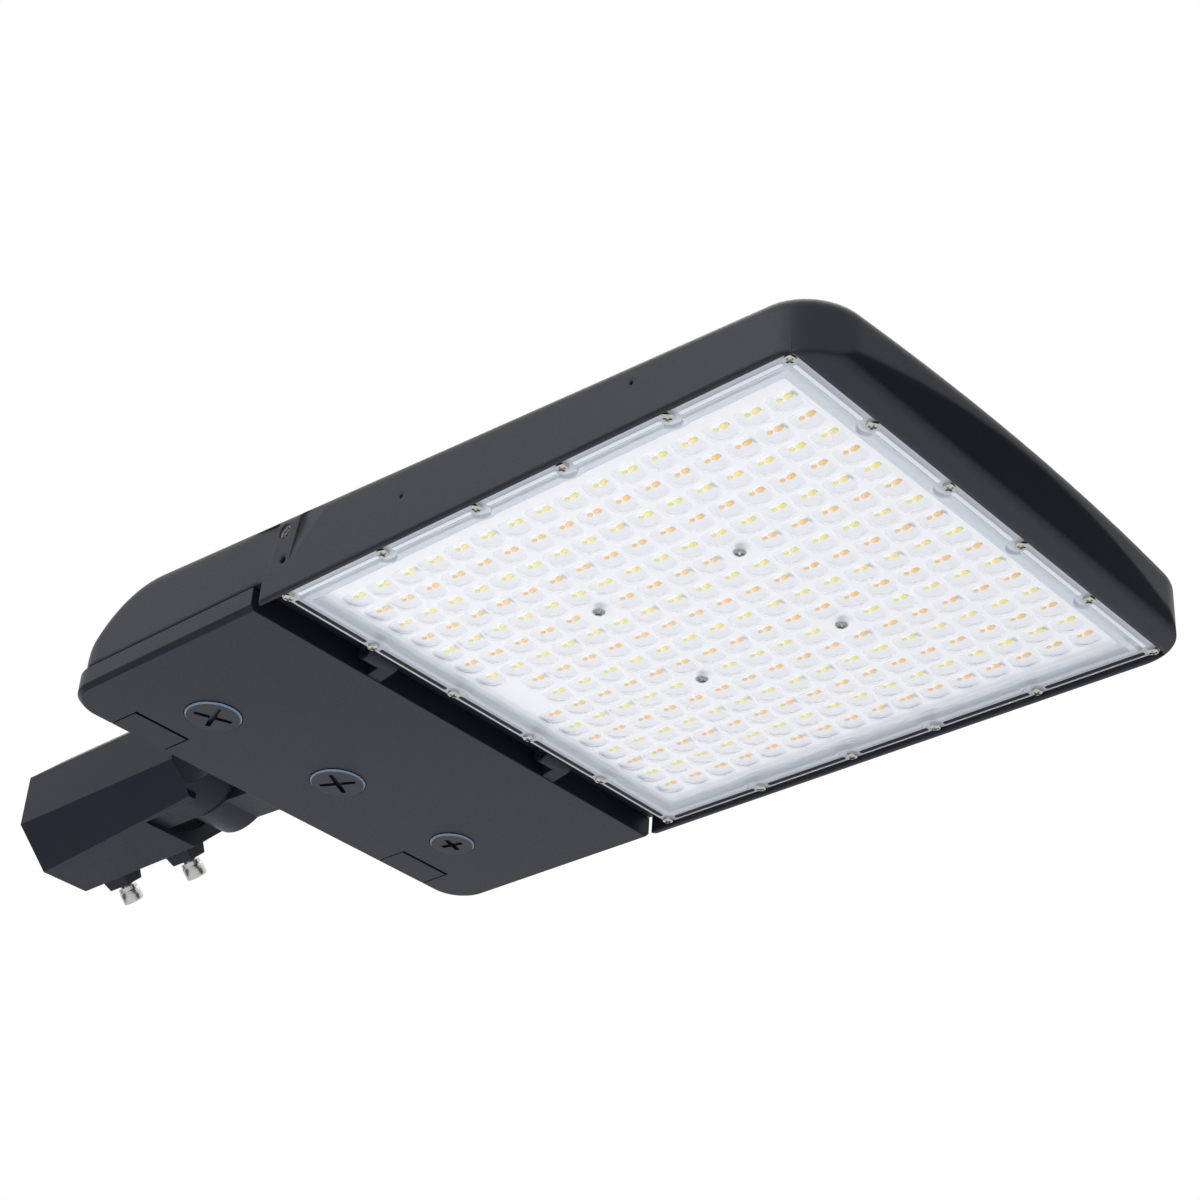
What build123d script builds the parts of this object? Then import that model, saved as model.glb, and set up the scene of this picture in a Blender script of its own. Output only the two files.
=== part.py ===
from build123d import *
import os
from math import atan2, cos, degrees, pi, radians, sin, sqrt, tan

os.makedirs("parts", exist_ok=True)

# Area light on an adjustable slip fitter, in millimetres.
# Origin at the mouth of the tenon socket on its axis, X towards the nose, Y across, Z up.

# Slip fitter
TENON_D = 60.3  # pipe that the light slips over
TENON_CLEARANCE = 0.45  # on the radius
SOCKET_DEPTH = 88.0
SOCKET_STOP = 5.0  # web at the end of the socket
SOCKET_END = 12.0  # socket to the end of the octagon
FITTER_SIDES = 8
FITTER_FLATS = 79.0  # across the flats of the octagon
FITTER_RISE = 6.0  # bottom flat climbs this far along the cheek
CHEEK_PAST = 12.0  # cheek past the knuckle axis
CLAMP_FROM_MOUTH = 18.0
CLAMP_FROM_STOP = 9.0
CLAMP_TURN = 135.0  # degrees, bolts leave half way between the bottom and +Y
CLAMP_BOSS_H = 7.0
CLAMP_BOSS_L = 24.0
CLAMP_BOSS_W = 19.0
CLAMP_BOSS_LEAN = 3.4  # sides come in this far over the boss

# Clamp bolts, M8
BOLT_R = 4.0
BOLT_STANDOFF = 1.5  # bare shank between boss and collar
BOLT_TIP_GAP = 0.6  # from the socket wall
COLLAR_R = 6.0
COLLAR_T = 2.4
BOLT_HEAD_R = 6.5
BOLT_HEAD_H = 8.0
BOLT_SOCKET_R = 3.4
BOLT_SOCKET_DEPTH = 4.0
THREAD_GAP = 0.05  # shank to tapped hole

# Knuckle
KNUCKLE_R = 32.0
KNUCKLE_AHEAD = 1.0  # discs to the end of the octagon
KNUCKLE_SEAM = 0.8  # gap between the two discs
FITTER_DISC_T = 18.0
ARM_DISC_T = 26.0
SWING_GAP = 1.5  # round each disc
KNUCKLE_BOLT_R = 5.0
KNUCKLE_BOLT_RUN = 0.06  # running clearance in the arm
KNUCKLE_BOLT_BITE = 15.0  # thread in the fitter disc
KNUCKLE_HEAD_R = 9.0
KNUCKLE_HEAD_H = 6.4
KNUCKLE_WASHER_R = 11.0
KNUCKLE_WASHER_T = 2.0
KNUCKLE_WASHER_GAP = 0.2

# Lights and lens
ROWS = 16  # each way
ROW_PITCH = 17.86  # along X
COLUMN_PITCH = 16.0  # along Y
EMPTY_CELLS = [(5, 5), (5, 10), (10, 5), (10, 10), (15, 7), (15, 8)]  # screws and a plain patch
LED_SIZE = 3.0
LED_T = 0.7
LENS_MARGIN_X = 26.55  # last light to the edge of the panel
LENS_MARGIN_Y = 29.0
LENS_CORNER_R = 6.0
LENS_RIM_T = 3.0
LENS_RIM_W = 16.0
LENS_FIELD_SET = 2.4  # field lies this far inside the rim
LENS_FIELD_T = 2.6
LENS_STANDOFF = 2.0  # field to board
DOME_H = 2.7
DOME_L = 14.2
DOME_W = 11.6
DOME_LEAN = 2.2  # sides come in this far over the dome
GASKET_T = 1.6
GASKET_W = 8.0
LENS_GAP = 0.5  # panel to skirt
SCREW_INSET = 3.8  # rim screw to the edge of the panel
SIDE_SCREW_X = (27.0, 89.5)
END_SCREW_Y = (29.0, 87.0)
FIELD_SCREW_X = 44.7
FIELD_SCREW_Y = 40.0
FIELD_POST_R = 5.0
SCREW_R = 2.0
SCREW_HOLE_GAP = 0.3
SCREW_HEAD_R = 3.4
SCREW_HEAD_H = 1.9
SCREW_BITE = 7.0
BOARD_T = 1.6
BOARD_GAP = 1.5

# Housing
LENS_DROP = 43.8  # tenon axis to the face of the lens rim
SKIRT_DROP = 2.0  # skirt below the lens rim
SKIRT_WALL = 2.7
PARTING_RISE = 10.0  # door parting line above the lens rim
WALL = 3.0
DECK_T = 5.0
KNUCKLE_TO_REAR = 70.0
COMPARTMENT_L = 145.7  # rear of the housing to the front of the door
HINGE_GAP = 4.5  # door to skirt
LENS_SETBACK = 12.3  # skirt end to the panel's rear edge
NOSE_UNDERSIDE = 15.5  # panel to the crease under the nose
NOSE_LEAN = 7.0
NOSE_LEAN_H = 21.0
NOSE_H = 31.4
NOSE_ARC_R = 1640.0
NOSE_CORNER_R = 30.0
REAR_CORNER_R = 18.0
REAR_ARC_R = 62.8
TOP_SLOPE = 3.0  # degrees, falling to the nose
TOP_EDGE_R = 8.0
NOSE_EDGE_R = 4.0
SEAT_W = 10.0
BULKHEAD_T = 6.0
FINS = 20  # grooves between the fins
FIN_PITCH = 14.0
FIN_T = 4.0
FIN_INSET = 12.0  # groove ends from the ends of the tray
ACCESSORY_R = 4.0  # threaded hole in each side
ACCESSORY_DEPTH = 9.0
ACCESSORY_X = 1.8  # past the panel's rear edge
ACCESSORY_Z = 35.4  # above the lens rim
SCOOP_DEPTH = 2.2  # hollows beside the pad of that hole, at their top
SCOOP_L = 24.0
SCOOP_H = 28.0
SCOOP_LEAN = 5.0  # edge of the pad leans this far over the hollow
SCOOP_RISE = 8.0  # top of the hollow above the hole
SCOOP_TIP = 0.1  # size of the hollow's lower end
PAD_REAR = 5.0  # hole to the edges of its pad
PAD_FRONT = 11.0
SKIRT_END_R = 2.5
LOCK_HOLE_R = 2.2
LOCK_HOLE_AHEAD = 1.8
LOCK_HOLE_DROP = 17.6
VISOR_HOLE_R = 1.2
VISOR_HOLE_X = 73.0
VISOR_HOLE_Z = 21.2
VISOR_HOLE_DEPTH = 5.0

# Door
DOOR_DROP = 3.2  # door face below the lens rim
DOOR_SKIN = 2.5
DOOR_LIP = 8.0  # door face past the rear of the housing
DOOR_CORNER_R = 22.0
DOOR_CHAMFER = 2.6
PARTING_GAP = 0.6
SEAL_W = 3.0
SEAL_H = 3.5
SEAL_LEDGE_T = 1.6
SEAL_FIT = 0.2
FLANGE_T = 2.5
RIB_T = 2.0
RIB_H = 6.0
RIB_Y = 46.0

# Door hinge
HINGE_Y = 66.7
HINGE_AHEAD = 9.3  # pin ahead of the door's front face
HINGE_RISE = 7.2  # pin above the door's face
ARM_W = 9.0
ARM_EYE_R = 4.5
ARM_ROOT_H = 7.0
PIN_R = 2.5
PIN_RUN = 0.06
PIN_PRESS = 0.02
HINGE_SIDE_GAP = 0.4
HINGE_BOSS_W = 11.0
HINGE_BOSS_R = 5.2

# Latches
LATCH_Y = 100.7
LATCH_W = 35.5
LATCH_L = 22.0  # door's rear edge to the front of the tab
LATCH_SIDE_GAP = 0.9
LATCH_FRONT_GAP = 2.2
LATCH_GUIDE_W = 42.0
LATCH_GUIDE_L = 12.0
LATCH_GUIDE_T = 2.0
LATCH_LIFT = 0.3
LATCH_STEM_W = 18.0
LATCH_STEM_T = 4.5
LATCH_STEM_H = 16.0
LATCH_HOOK_L = 1.0
LATCH_HOOK_H = 2.5
CATCH_W = 24.0
SPRING_R = 3.0
SPRING_L = 11.0
SPRING_Z = 5.5  # above the door's skin
STOP_W = 12.0
STOP_T = 3.0
STOP_H = 10.0

# Plugs, switches and sensor socket in the door
PLUG_REAR = 55.0  # plug centres ahead of the door's rear edge
PLUG_Y = 91.5
PLUG_HEAD_R = 15.6
SENSOR_HEAD_R = 13.0
PLUG_HEAD_T = 1.6
PLUG_LEDGE = 2.6  # head past the shank
PLUG_SHANK_L = 6.0
PLUG_RUN = 0.08
PLUG_SINK = 1.2
PLUG_RIM_GAP = 0.5
PLUG_SEAL_T = 0.8
PLUG_BOSS_WALL = 3.0
PLUG_BOSS_H = 9.0
PLUG_TURNS = (-23.0, 26.0, 14.0)  # degrees, cross slots at rest
SLOT_W = 2.4
SLOT_DEPTH = 2.4
SELECTOR_SLOT_L = 22.0
SENSOR_SLOT_L = 13.5
DIAL_SLOT_L = 10.0
SWITCH_SIZE = 34.0
SWITCH_T = 9.0
DIAL_R = 8.0
DIAL_T = 2.0
DIAL_GAP = 0.4
DIAL_STEM_R = 2.5
DIAL_STEM_L = 4.0
DIAL_RUN = 0.06

# Driver compartment
DRIVER_L = 72.0
DRIVER_W = 150.0
DRIVER_T = 22.0
DRIVER_FROM_BULKHEAD = 10.0
DRIVER_Y = -20.0
DRIVER_TOP = 3.5  # under the roof at its lower end
DRIVER_EAR_L = 12.0
DRIVER_EAR_T = 3.0
DRIVER_EAR_INSET = 12.0
DRIVER_BOSS_R = 5.0
SURGE_SIZE = (52.0, 40.0, 24.0)
SURGE_Y = 98.0
TERMINAL_SIZE = (18.0, 50.0, 16.0)
TERMINAL_Y = -60.0
TERMINAL_GAP = 5.0  # behind the driver
PAD_SHARE = 0.5  # pad on the roof over the size of what it carries

# Arm on the rear of the housing
FLANGE_HALF_W = 30.0
FLANGE_TOP = 6.0
FLANGE_BOTTOM = -29.5
FLANGE_BACK = 57.0  # knuckle axis to the back of the flange
NECK_TOP = 18.0
NECK_BOTTOM = -27.0
NECK_SIDE = 36.0  # neck widens this far from the knuckle axis
NECK_HALF_W = 14.0
ARM_GASKET_T = 1.5
ARM_GASKET_INSET = 1.0
ARM_GASKET_FIT = 0.1
ARM_SCREW_Y = 18.0
ARM_SCREW_Z = (-23.0, -10.0)
ARM_SCREW_R = 3.0
ARM_SCREW_HEAD_R = 5.0
ARM_SCREW_HEAD_H = 5.0
ARM_SCREW_BITE = 10.0
ARM_BOSS_R = 7.0
ARM_BOSS_L = 8.0

# Worked out from the sizes above
BORE_R = TENON_D / 2 + TENON_CLEARANCE
HALF_FLATS = FITTER_FLATS / 2
CLAMP_X = (CLAMP_FROM_MOUTH, SOCKET_DEPTH - CLAMP_FROM_STOP)
CLAMP_SEAT = HALF_FLATS + CLAMP_BOSS_H
FITTER_L = SOCKET_DEPTH + SOCKET_END
KNUCKLE_X = FITTER_L + KNUCKLE_AHEAD + KNUCKLE_R
CHEEK_L = KNUCKLE_X + CHEEK_PAST
DISC_FACE = KNUCKLE_SEAM / 2
LENS_L = (ROWS - 1) * ROW_PITCH + 2 * LENS_MARGIN_X
LENS_W = (ROWS - 1) * COLUMN_PITCH + 2 * LENS_MARGIN_Y
HALF_W = LENS_W / 2 + LENS_GAP + SKIRT_WALL
LENS_Z = -LENS_DROP
FIELD_Z = LENS_Z + LENS_FIELD_SET
FIELD_TOP = FIELD_Z + LENS_FIELD_T
BOARD_Z = FIELD_TOP + LENS_STANDOFF
DECK_Z = BOARD_Z + BOARD_T
SEAT_Z = LENS_Z + LENS_RIM_T + GASKET_T
SKIRT_Z = LENS_Z - SKIRT_DROP
PART_Z = LENS_Z + PARTING_RISE
DOOR_Z = LENS_Z - DOOR_DROP
SKIN_Z = DOOR_Z + DOOR_SKIN
DOOR_TOP_Z = PART_Z - PARTING_GAP
REAR_X = KNUCKLE_X + KNUCKLE_TO_REAR
DOOR_FRONT_X = REAR_X + COMPARTMENT_L
DOOR_REAR_X = REAR_X - DOOR_LIP
BULKHEAD_X = DOOR_FRONT_X - BULKHEAD_T
SKIRT_REAR_X = DOOR_FRONT_X + HINGE_GAP
LENS_REAR_X = SKIRT_REAR_X + LENS_SETBACK
LENS_X = LENS_REAR_X + LENS_L / 2
LENS_FRONT_X = LENS_REAR_X + LENS_L
CREASE_X = LENS_FRONT_X + NOSE_UNDERSIDE
NOSE_X = CREASE_X + NOSE_LEAN
NOSE_TOP_Z = SKIRT_Z + NOSE_H
SLOPE = tan(radians(TOP_SLOPE))
HINGE_X = DOOR_FRONT_X + HINGE_AHEAD
HINGE_Z = DOOR_Z + HINGE_RISE
LATCH_FRONT_X = DOOR_REAR_X + LATCH_L
PLUG_X = DOOR_REAR_X + PLUG_REAR
PLUG_BOSS_Z = SKIN_Z + PLUG_BOSS_H
TRAY_REAR_X = LENS_REAR_X + SEAT_W - LENS_GAP
TRAY_FRONT_X = LENS_FRONT_X - SEAT_W + LENS_GAP
TRAY_HALF_W = LENS_W / 2 + LENS_GAP - SEAT_W
PAST = 1.0  # cuts run this far past the face that they open
TALL = HALF_W  # reaches past every piece
PEG_SIDES = 6  # plain shanks and their holes
HEAD_SIDES = 8  # small heads and posts
RING_SIDES = 24  # washers, seals and plug heads


def box(x0, x1, y0, y1, z0, z1):
    """Block between six planes."""
    centre = Pos((x0 + x1) / 2, (y0 + y1) / 2, (z0 + z1) / 2)
    return centre * Box(x1 - x0, y1 - y0, z1 - z0)


def rod_x(y, z, r, x0, x1):
    """Cylinder along X."""
    return Pos((x0 + x1) / 2, y, z) * Rot(0, 90, 0) * Cylinder(r, x1 - x0)


def rod_y(x, z, r, y0, y1):
    """Cylinder along Y."""
    return Pos(x, (y0 + y1) / 2, z) * Rot(90, 0, 0) * Cylinder(r, y1 - y0)


def rod_z(x, y, r, z0, z1):
    """Cylinder along Z."""
    return Pos(x, y, (z0 + z1) / 2) * Cylinder(r, z1 - z0)


def peg_z(x, y, r, z0, z1, sides=PEG_SIDES):
    """Prism along Z with corners on a circle, for small shanks, heads and their holes."""
    return Pos(0, 0, z0) * extrude(Pos(x, y) * RegularPolygon(r, sides), z1 - z0)


def peg_x(y, z, r, x0, x1, sides=PEG_SIDES):
    """Prism along X with corners on a circle."""
    return Pos(x0, 0, 0) * extrude(Plane.YZ * Pos(y, z) * RegularPolygon(r, sides), x1 - x0)


def peg_y(x, z, r, y0, y1, sides=HEAD_SIDES):
    """Prism along Y with corners on a circle."""
    return Pos(0, y0, 0) * extrude(Plane.XZ * Pos(x, z) * RegularPolygon(r, sides), y0 - y1)


def side_shape(points):
    """Outline in X and Z, as a slab across the whole light."""
    outline = Plane.XZ * Polyline(*points, close=True)
    return extrude(make_face(outline), TALL * 2, both=True)


def top_z(x):
    """Height of the sloping top."""
    return NOSE_TOP_Z + (NOSE_X - x) * SLOPE


def rear_arc_centre():
    """Centre of the rear arc, through the rear parting corner and tangent to the top."""
    drop = REAR_ARC_R / cos(radians(TOP_SLOPE))
    rise = top_z(REAR_X) - drop - PART_Z
    a = 1 + SLOPE**2
    b = -2 * rise * SLOPE
    c = rise**2 - REAR_ARC_R**2
    ahead = (-b + sqrt(b * b - 4 * a * c)) / (2 * a)
    return REAR_X + ahead, top_z(REAR_X + ahead) - drop


ARC_X, ARC_Z = rear_arc_centre()


def rear_profile(inset, points):
    """Slab behind the rear arc and under the sloping top, closed through the given points."""
    radius = REAR_ARC_R - inset
    low_x = ARC_X - sqrt(radius**2 - (PART_Z - ARC_Z) ** 2)
    low_angle = atan2(PART_Z - ARC_Z, low_x - ARC_X)
    high_angle = pi / 2 - radians(TOP_SLOPE)
    angles = (low_angle, (low_angle + high_angle) / 2, high_angle)
    low, mid, high = [(ARC_X + radius * cos(a), ARC_Z + radius * sin(a)) for a in angles]
    outline = ThreePointArc(low, mid, high) + Polyline(high, *points, low)
    return extrude(make_face(Plane.XZ * outline), TALL * 2, both=True)


def under_top(x, inset):
    """Point on the sloping top, or that far below it."""
    return x, top_z(x) - inset / cos(radians(TOP_SLOPE))


def plan_slab(x0, x1, inset, corner, z0, z1):
    """Slab with rounded rear corners, inset from the sides of the light."""
    half = HALF_W - inset
    face = Pos((x0 + x1) / 2, 0) * Rectangle(x1 - x0, 2 * half)
    face = fillet(face.vertices().group_by(Axis.X)[0], corner)
    return Pos(0, 0, z0) * extrude(face, z1 - z0)


def rim_screws():
    """Places of the screws round the lens panel, from its centre."""
    end_x = LENS_L / 2 - SCREW_INSET
    side_y = LENS_W / 2 - SCREW_INSET
    places = [(sx * end_x, sy * side_y) for sx in (1, -1) for sy in (1, -1)]
    places += [(sx * x, sy * side_y) for x in SIDE_SCREW_X for sx in (1, -1) for sy in (1, -1)]
    places += [(sx * end_x, sy * y) for y in END_SCREW_Y for sx in (1, -1) for sy in (1, -1)]
    return [(LENS_X + x, y) for x, y in places]


def centre_screws():
    """Places of the four screws in the field."""
    return [(LENS_X + sx * FIELD_SCREW_X, sy * FIELD_SCREW_Y) for sx in (1, -1) for sy in (1, -1)]


def light_places(columns):
    """Places of the lights in the given columns."""
    middle = (ROWS - 1) / 2
    cells = [(i, j) for i in range(ROWS) for j in columns if (i, j) not in EMPTY_CELLS]
    return [(LENS_X + (middle - i) * ROW_PITCH, (j - middle) * COLUMN_PITCH) for i, j in cells]


def clamp_frame(x):
    """Frame of a clamp bolt: on the socket axis, Z outward along the bolt."""
    return Pos(x, 0, 0) * Rot(-CLAMP_TURN, 0, 0)


def slip_fitter():
    """Octagonal socket, cheek with a hollow blend, and the fitter's disc of the knuckle."""
    octagon = Plane.YZ * RegularPolygon(
        HALF_FLATS, FITTER_SIDES, major_radius=False, rotation=180 / FITTER_SIDES
    )
    socket = extrude(octagon, FITTER_L)
    beside = box(-PAST, TALL * 2, -TALL, -FITTER_DISC_T, -TALL, TALL)
    cheek = extrude(octagon, CHEEK_L) & beside
    blend_r = HALF_FLATS - FITTER_DISC_T
    blend = extrude(octagon, CHEEK_L + blend_r) & beside
    blend &= rod_y(KNUCKLE_X, 0, KNUCKLE_R, -TALL, TALL)
    blend -= rod_z(CHEEK_L + blend_r, -HALF_FLATS, blend_r, -TALL, TALL)
    floor_rise = FITTER_RISE / CHEEK_L * (CHEEK_L + blend_r)
    end = CHEEK_L + blend_r
    below = side_shape([(0, -HALF_FLATS), (end, floor_rise - HALF_FLATS), (end, -TALL), (0, -TALL)])
    disc = rod_y(KNUCKLE_X, 0, KNUCKLE_R, -FITTER_DISC_T, -DISC_FACE)
    neck = box(
        SOCKET_DEPTH + SOCKET_STOP, KNUCKLE_X, -FITTER_DISC_T, -DISC_FACE, -KNUCKLE_R, KNUCKLE_R
    )
    body = (socket + cheek + blend) - below
    body += disc + neck
    boss_h = CLAMP_SEAT - BORE_R
    taper = degrees(atan2(CLAMP_BOSS_LEAN, boss_h))
    boss = extrude(Rectangle(CLAMP_BOSS_L, CLAMP_BOSS_W), boss_h, taper=taper)
    for x in CLAMP_X:
        body += clamp_frame(x) * Pos(0, 0, BORE_R) * boss
    body -= rod_x(0, 0, BORE_R, -PAST, SOCKET_DEPTH)
    for x in CLAMP_X:
        body -= clamp_frame(x) * peg_z(0, 0, BOLT_R + THREAD_GAP, 0, TALL, HEAD_SIDES)
    swing = rod_y(KNUCKLE_X, 0, KNUCKLE_R + SWING_GAP, -DISC_FACE, ARM_DISC_T + SWING_GAP)
    mouth = rod_x(0, 0, BORE_R, SOCKET_DEPTH + SOCKET_STOP, FITTER_L + PAST)
    mouth &= box(0, TALL * 2, DISC_FACE, TALL, -TALL, TALL)
    tapped = rod_y(
        KNUCKLE_X, 0, KNUCKLE_BOLT_R + THREAD_GAP, -KNUCKLE_BOLT_BITE - PAST, TALL
    )
    return body - swing - mouth - tapped


def tenon_clamp_bolts():
    """Two socket-head bolts whose tips stop short of the socket wall."""
    under_head = CLAMP_SEAT + BOLT_STANDOFF + COLLAR_T
    top = under_head + BOLT_HEAD_H
    bolt = peg_z(0, 0, BOLT_R, BORE_R + BOLT_TIP_GAP, under_head, HEAD_SIDES)
    bolt += peg_z(0, 0, BOLT_HEAD_R, under_head, top, RING_SIDES)
    bolt -= peg_z(0, 0, BOLT_SOCKET_R, top - BOLT_SOCKET_DEPTH, top + PAST)
    return Compound([clamp_frame(x) * bolt for x in CLAMP_X])


def clamp_bolt_collars():
    """Collar under each clamp bolt's head."""
    seat = CLAMP_SEAT + BOLT_STANDOFF
    collar = peg_z(0, 0, COLLAR_R, seat, seat + COLLAR_T, RING_SIDES)
    collar -= peg_z(0, 0, BOLT_R + THREAD_GAP, seat - PAST, seat + COLLAR_T + PAST, HEAD_SIDES)
    return Compound([clamp_frame(x) * collar for x in CLAMP_X])


def knuckle_bolt():
    """Hex bolt through the arm's disc into the fitter's disc."""
    seat = ARM_DISC_T + KNUCKLE_WASHER_GAP + KNUCKLE_WASHER_T
    head = Plane.XZ * RegularPolygon(KNUCKLE_HEAD_R, PEG_SIDES)
    bolt = Pos(KNUCKLE_X, seat, 0) * extrude(head, -KNUCKLE_HEAD_H)
    return bolt + rod_y(KNUCKLE_X, 0, KNUCKLE_BOLT_R, -KNUCKLE_BOLT_BITE, seat + PAST)


def knuckle_washer():
    """Washer under the knuckle bolt's head."""
    near = ARM_DISC_T + KNUCKLE_WASHER_GAP
    hole_r = KNUCKLE_BOLT_R + SCREW_HOLE_GAP
    face = RegularPolygon(KNUCKLE_WASHER_R, RING_SIDES) - RegularPolygon(hole_r, RING_SIDES)
    return Pos(KNUCKLE_X, near, 0) * extrude(Plane.XZ * face, -KNUCKLE_WASHER_T)


def flange_block(grow):
    """Block of the arm's flange, from its back to inside the housing."""
    half = FLANGE_HALF_W + grow
    back = KNUCKLE_X + FLANGE_BACK
    return box(back, ARC_X, -half, half, FLANGE_BOTTOM - grow, FLANGE_TOP + grow)


def arm_screw_places():
    """Rows and columns of the screws that hold the arm."""
    return [(sy * ARM_SCREW_Y, z) for sy in (1, -1) for z in ARM_SCREW_Z]


def rear_wall_x(z, inset):
    """Rear wall at a height, or its inner face."""
    return ARC_X - sqrt((REAR_ARC_R - inset) ** 2 - (z - ARC_Z) ** 2)


def knuckle_arm():
    """Arm's disc of the knuckle, neck and the flange that fits the rear of the housing."""
    disc = rod_y(KNUCKLE_X, 0, KNUCKLE_R, DISC_FACE, ARM_DISC_T)
    back = KNUCKLE_X + FLANGE_BACK
    profile = side_shape(
        [
            (KNUCKLE_X, NECK_BOTTOM),
            (back, FLANGE_BOTTOM),
            (ARC_X, FLANGE_BOTTOM),
            (ARC_X, FLANGE_TOP),
            (back, FLANGE_TOP),
            (KNUCKLE_X, NECK_TOP),
        ]
    )
    neck = profile & box(KNUCKLE_X, back, DISC_FACE, ARM_DISC_T, -TALL, TALL)
    wide = profile & box(KNUCKLE_X + NECK_SIDE, back + PAST, -NECK_HALF_W, ARM_DISC_T, -TALL, TALL)
    body = disc + neck + wide + flange_block(0)
    body -= rod_y(ARC_X, ARC_Z, REAR_ARC_R + ARM_GASKET_T + ARM_GASKET_FIT, -TALL, TALL)
    body -= rod_y(KNUCKLE_X, 0, KNUCKLE_R + SWING_GAP, -TALL, DISC_FACE)
    body -= rod_y(KNUCKLE_X, 0, KNUCKLE_BOLT_R + KNUCKLE_BOLT_RUN, -TALL, TALL)
    for y, z in arm_screw_places():
        start = rear_wall_x(z, -ARM_GASKET_T) - ARM_SCREW_BITE
        body -= peg_x(y, z, ARM_SCREW_R + THREAD_GAP, start - PAST, ARC_X)
    return body


def arm_gasket():
    """Curved sheet between the arm's flange and the housing."""
    sheet = flange_block(-ARM_GASKET_INSET) & rod_y(
        ARC_X, ARC_Z, REAR_ARC_R + ARM_GASKET_T, -TALL, TALL
    )
    sheet -= rod_y(ARC_X, ARC_Z, REAR_ARC_R + ARM_GASKET_FIT, -TALL, TALL)
    for y, z in arm_screw_places():
        sheet -= peg_x(y, z, ARM_SCREW_R + SCREW_HOLE_GAP, 0, ARC_X)
    return sheet


def arm_screws():
    """Four screws from inside the housing into the arm."""
    screws = []
    for y, z in arm_screw_places():
        seat = rear_wall_x(z, WALL) + ARM_BOSS_L
        tip = rear_wall_x(z, -ARM_GASKET_T) - ARM_SCREW_BITE
        head = peg_x(y, z, ARM_SCREW_HEAD_R, seat, seat + ARM_SCREW_HEAD_H, HEAD_SIDES)
        screws.append(peg_x(y, z, ARM_SCREW_R, tip, seat) + head)
    return Compound(screws)


def housing_shell():
    """Outside of the casting: sloping top, round rear, leaning nose, skirt below."""
    tall_nose = SKIRT_Z + NOSE_LEAN_H
    ahead = NOSE_X + NOSE_LEAN
    body = rear_profile(
        0,
        [
            under_top(ahead, 0),
            (ahead, tall_nose + NOSE_LEAN_H * (ahead - NOSE_X) / NOSE_LEAN),
            (CREASE_X, SKIRT_Z),
            (SKIRT_REAR_X, SKIRT_Z),
            (SKIRT_REAR_X, PART_Z),
        ],
    )
    behind = REAR_X - PAST
    face = Pos((behind + NOSE_X) / 2, 0) * Rectangle(NOSE_X - behind, 2 * HALF_W)
    face &= Pos(NOSE_X - NOSE_ARC_R, 0) * Circle(NOSE_ARC_R)
    face = fillet(face.vertices().group_by(Axis.X)[0], REAR_CORNER_R)
    face = fillet(face.vertices().group_by(Axis.X)[-1], NOSE_CORNER_R)
    body &= Pos(0, 0, -TALL / 2) * extrude(face, TALL)
    upright = body.edges().filter_by(Axis.Z)
    ends = [e for e in upright if abs(e.center().X - SKIRT_REAR_X) < PAST]
    body = fillet(ends, SKIRT_END_R)
    crease = body.edges().filter_by(Axis.Y).sort_by_distance((CREASE_X, 0, SKIRT_Z))[0]
    body = fillet(crease, NOSE_EDGE_R)
    top = body.faces().filter_by(GeomType.PLANE).sort_by(Axis.Z)[-1]
    rim = [e for e in top.edges() if e.center().X > ARC_X + REAR_ARC_R * SLOPE + PAST]
    return fillet(rim, TOP_EDGE_R)


def fin_grooves():
    """Grooves between the cooling fins, each with a sloping end at the nose."""
    floor = DECK_Z + DECK_T
    rear = TRAY_REAR_X + FIN_INSET
    front = TRAY_FRONT_X + FIN_INSET
    ramp = top_z(front) - floor
    outline = [
        (rear, floor),
        (front - ramp, floor),
        (front + PAST, top_z(front) + PAST),
        (rear, top_z(rear) + PAST),
    ]
    face = make_face(Plane.XZ * Polyline(*outline, close=True))
    groove = extrude(face, (FIN_PITCH - FIN_T) / 2, both=True)
    first = -(FINS - 1) / 2 * FIN_PITCH
    return [Pos(0, first + n * FIN_PITCH, 0) * groove for n in range(FINS)]


def roof_pad(size, x, y):
    """Column over a piece of that size, to be trimmed by the roof of the compartment."""
    half_x = size[0] * PAD_SHARE / 2
    half_y = size[1] * PAD_SHARE / 2
    return box(x - half_x, x + half_x, y - half_y, y + half_y, DRIVER_Z, TALL)


DRIVER_FRONT = BULKHEAD_X - DRIVER_FROM_BULKHEAD
DRIVER_REAR = DRIVER_FRONT - DRIVER_L
DRIVER_Z = top_z(DRIVER_FRONT) - WALL - DRIVER_TOP
SURGE_X = (DRIVER_FRONT + DRIVER_REAR) / 2
TERMINAL_X = DRIVER_REAR - TERMINAL_GAP - TERMINAL_SIZE[0] / 2


def driver_screw_places():
    """Places of the driver's four screws."""
    half = DRIVER_W / 2 + DRIVER_EAR_L / 2
    ends = (DRIVER_REAR + DRIVER_EAR_INSET, DRIVER_FRONT - DRIVER_EAR_INSET)
    return [(x, DRIVER_Y + sy * half) for x in ends for sy in (1, -1)]


def hinge_boss_span(y):
    """Sides of the housing's boss beside a hinge arm."""
    near = y - ARM_W / 2 - HINGE_SIDE_GAP
    return near - HINGE_BOSS_W, near


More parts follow.
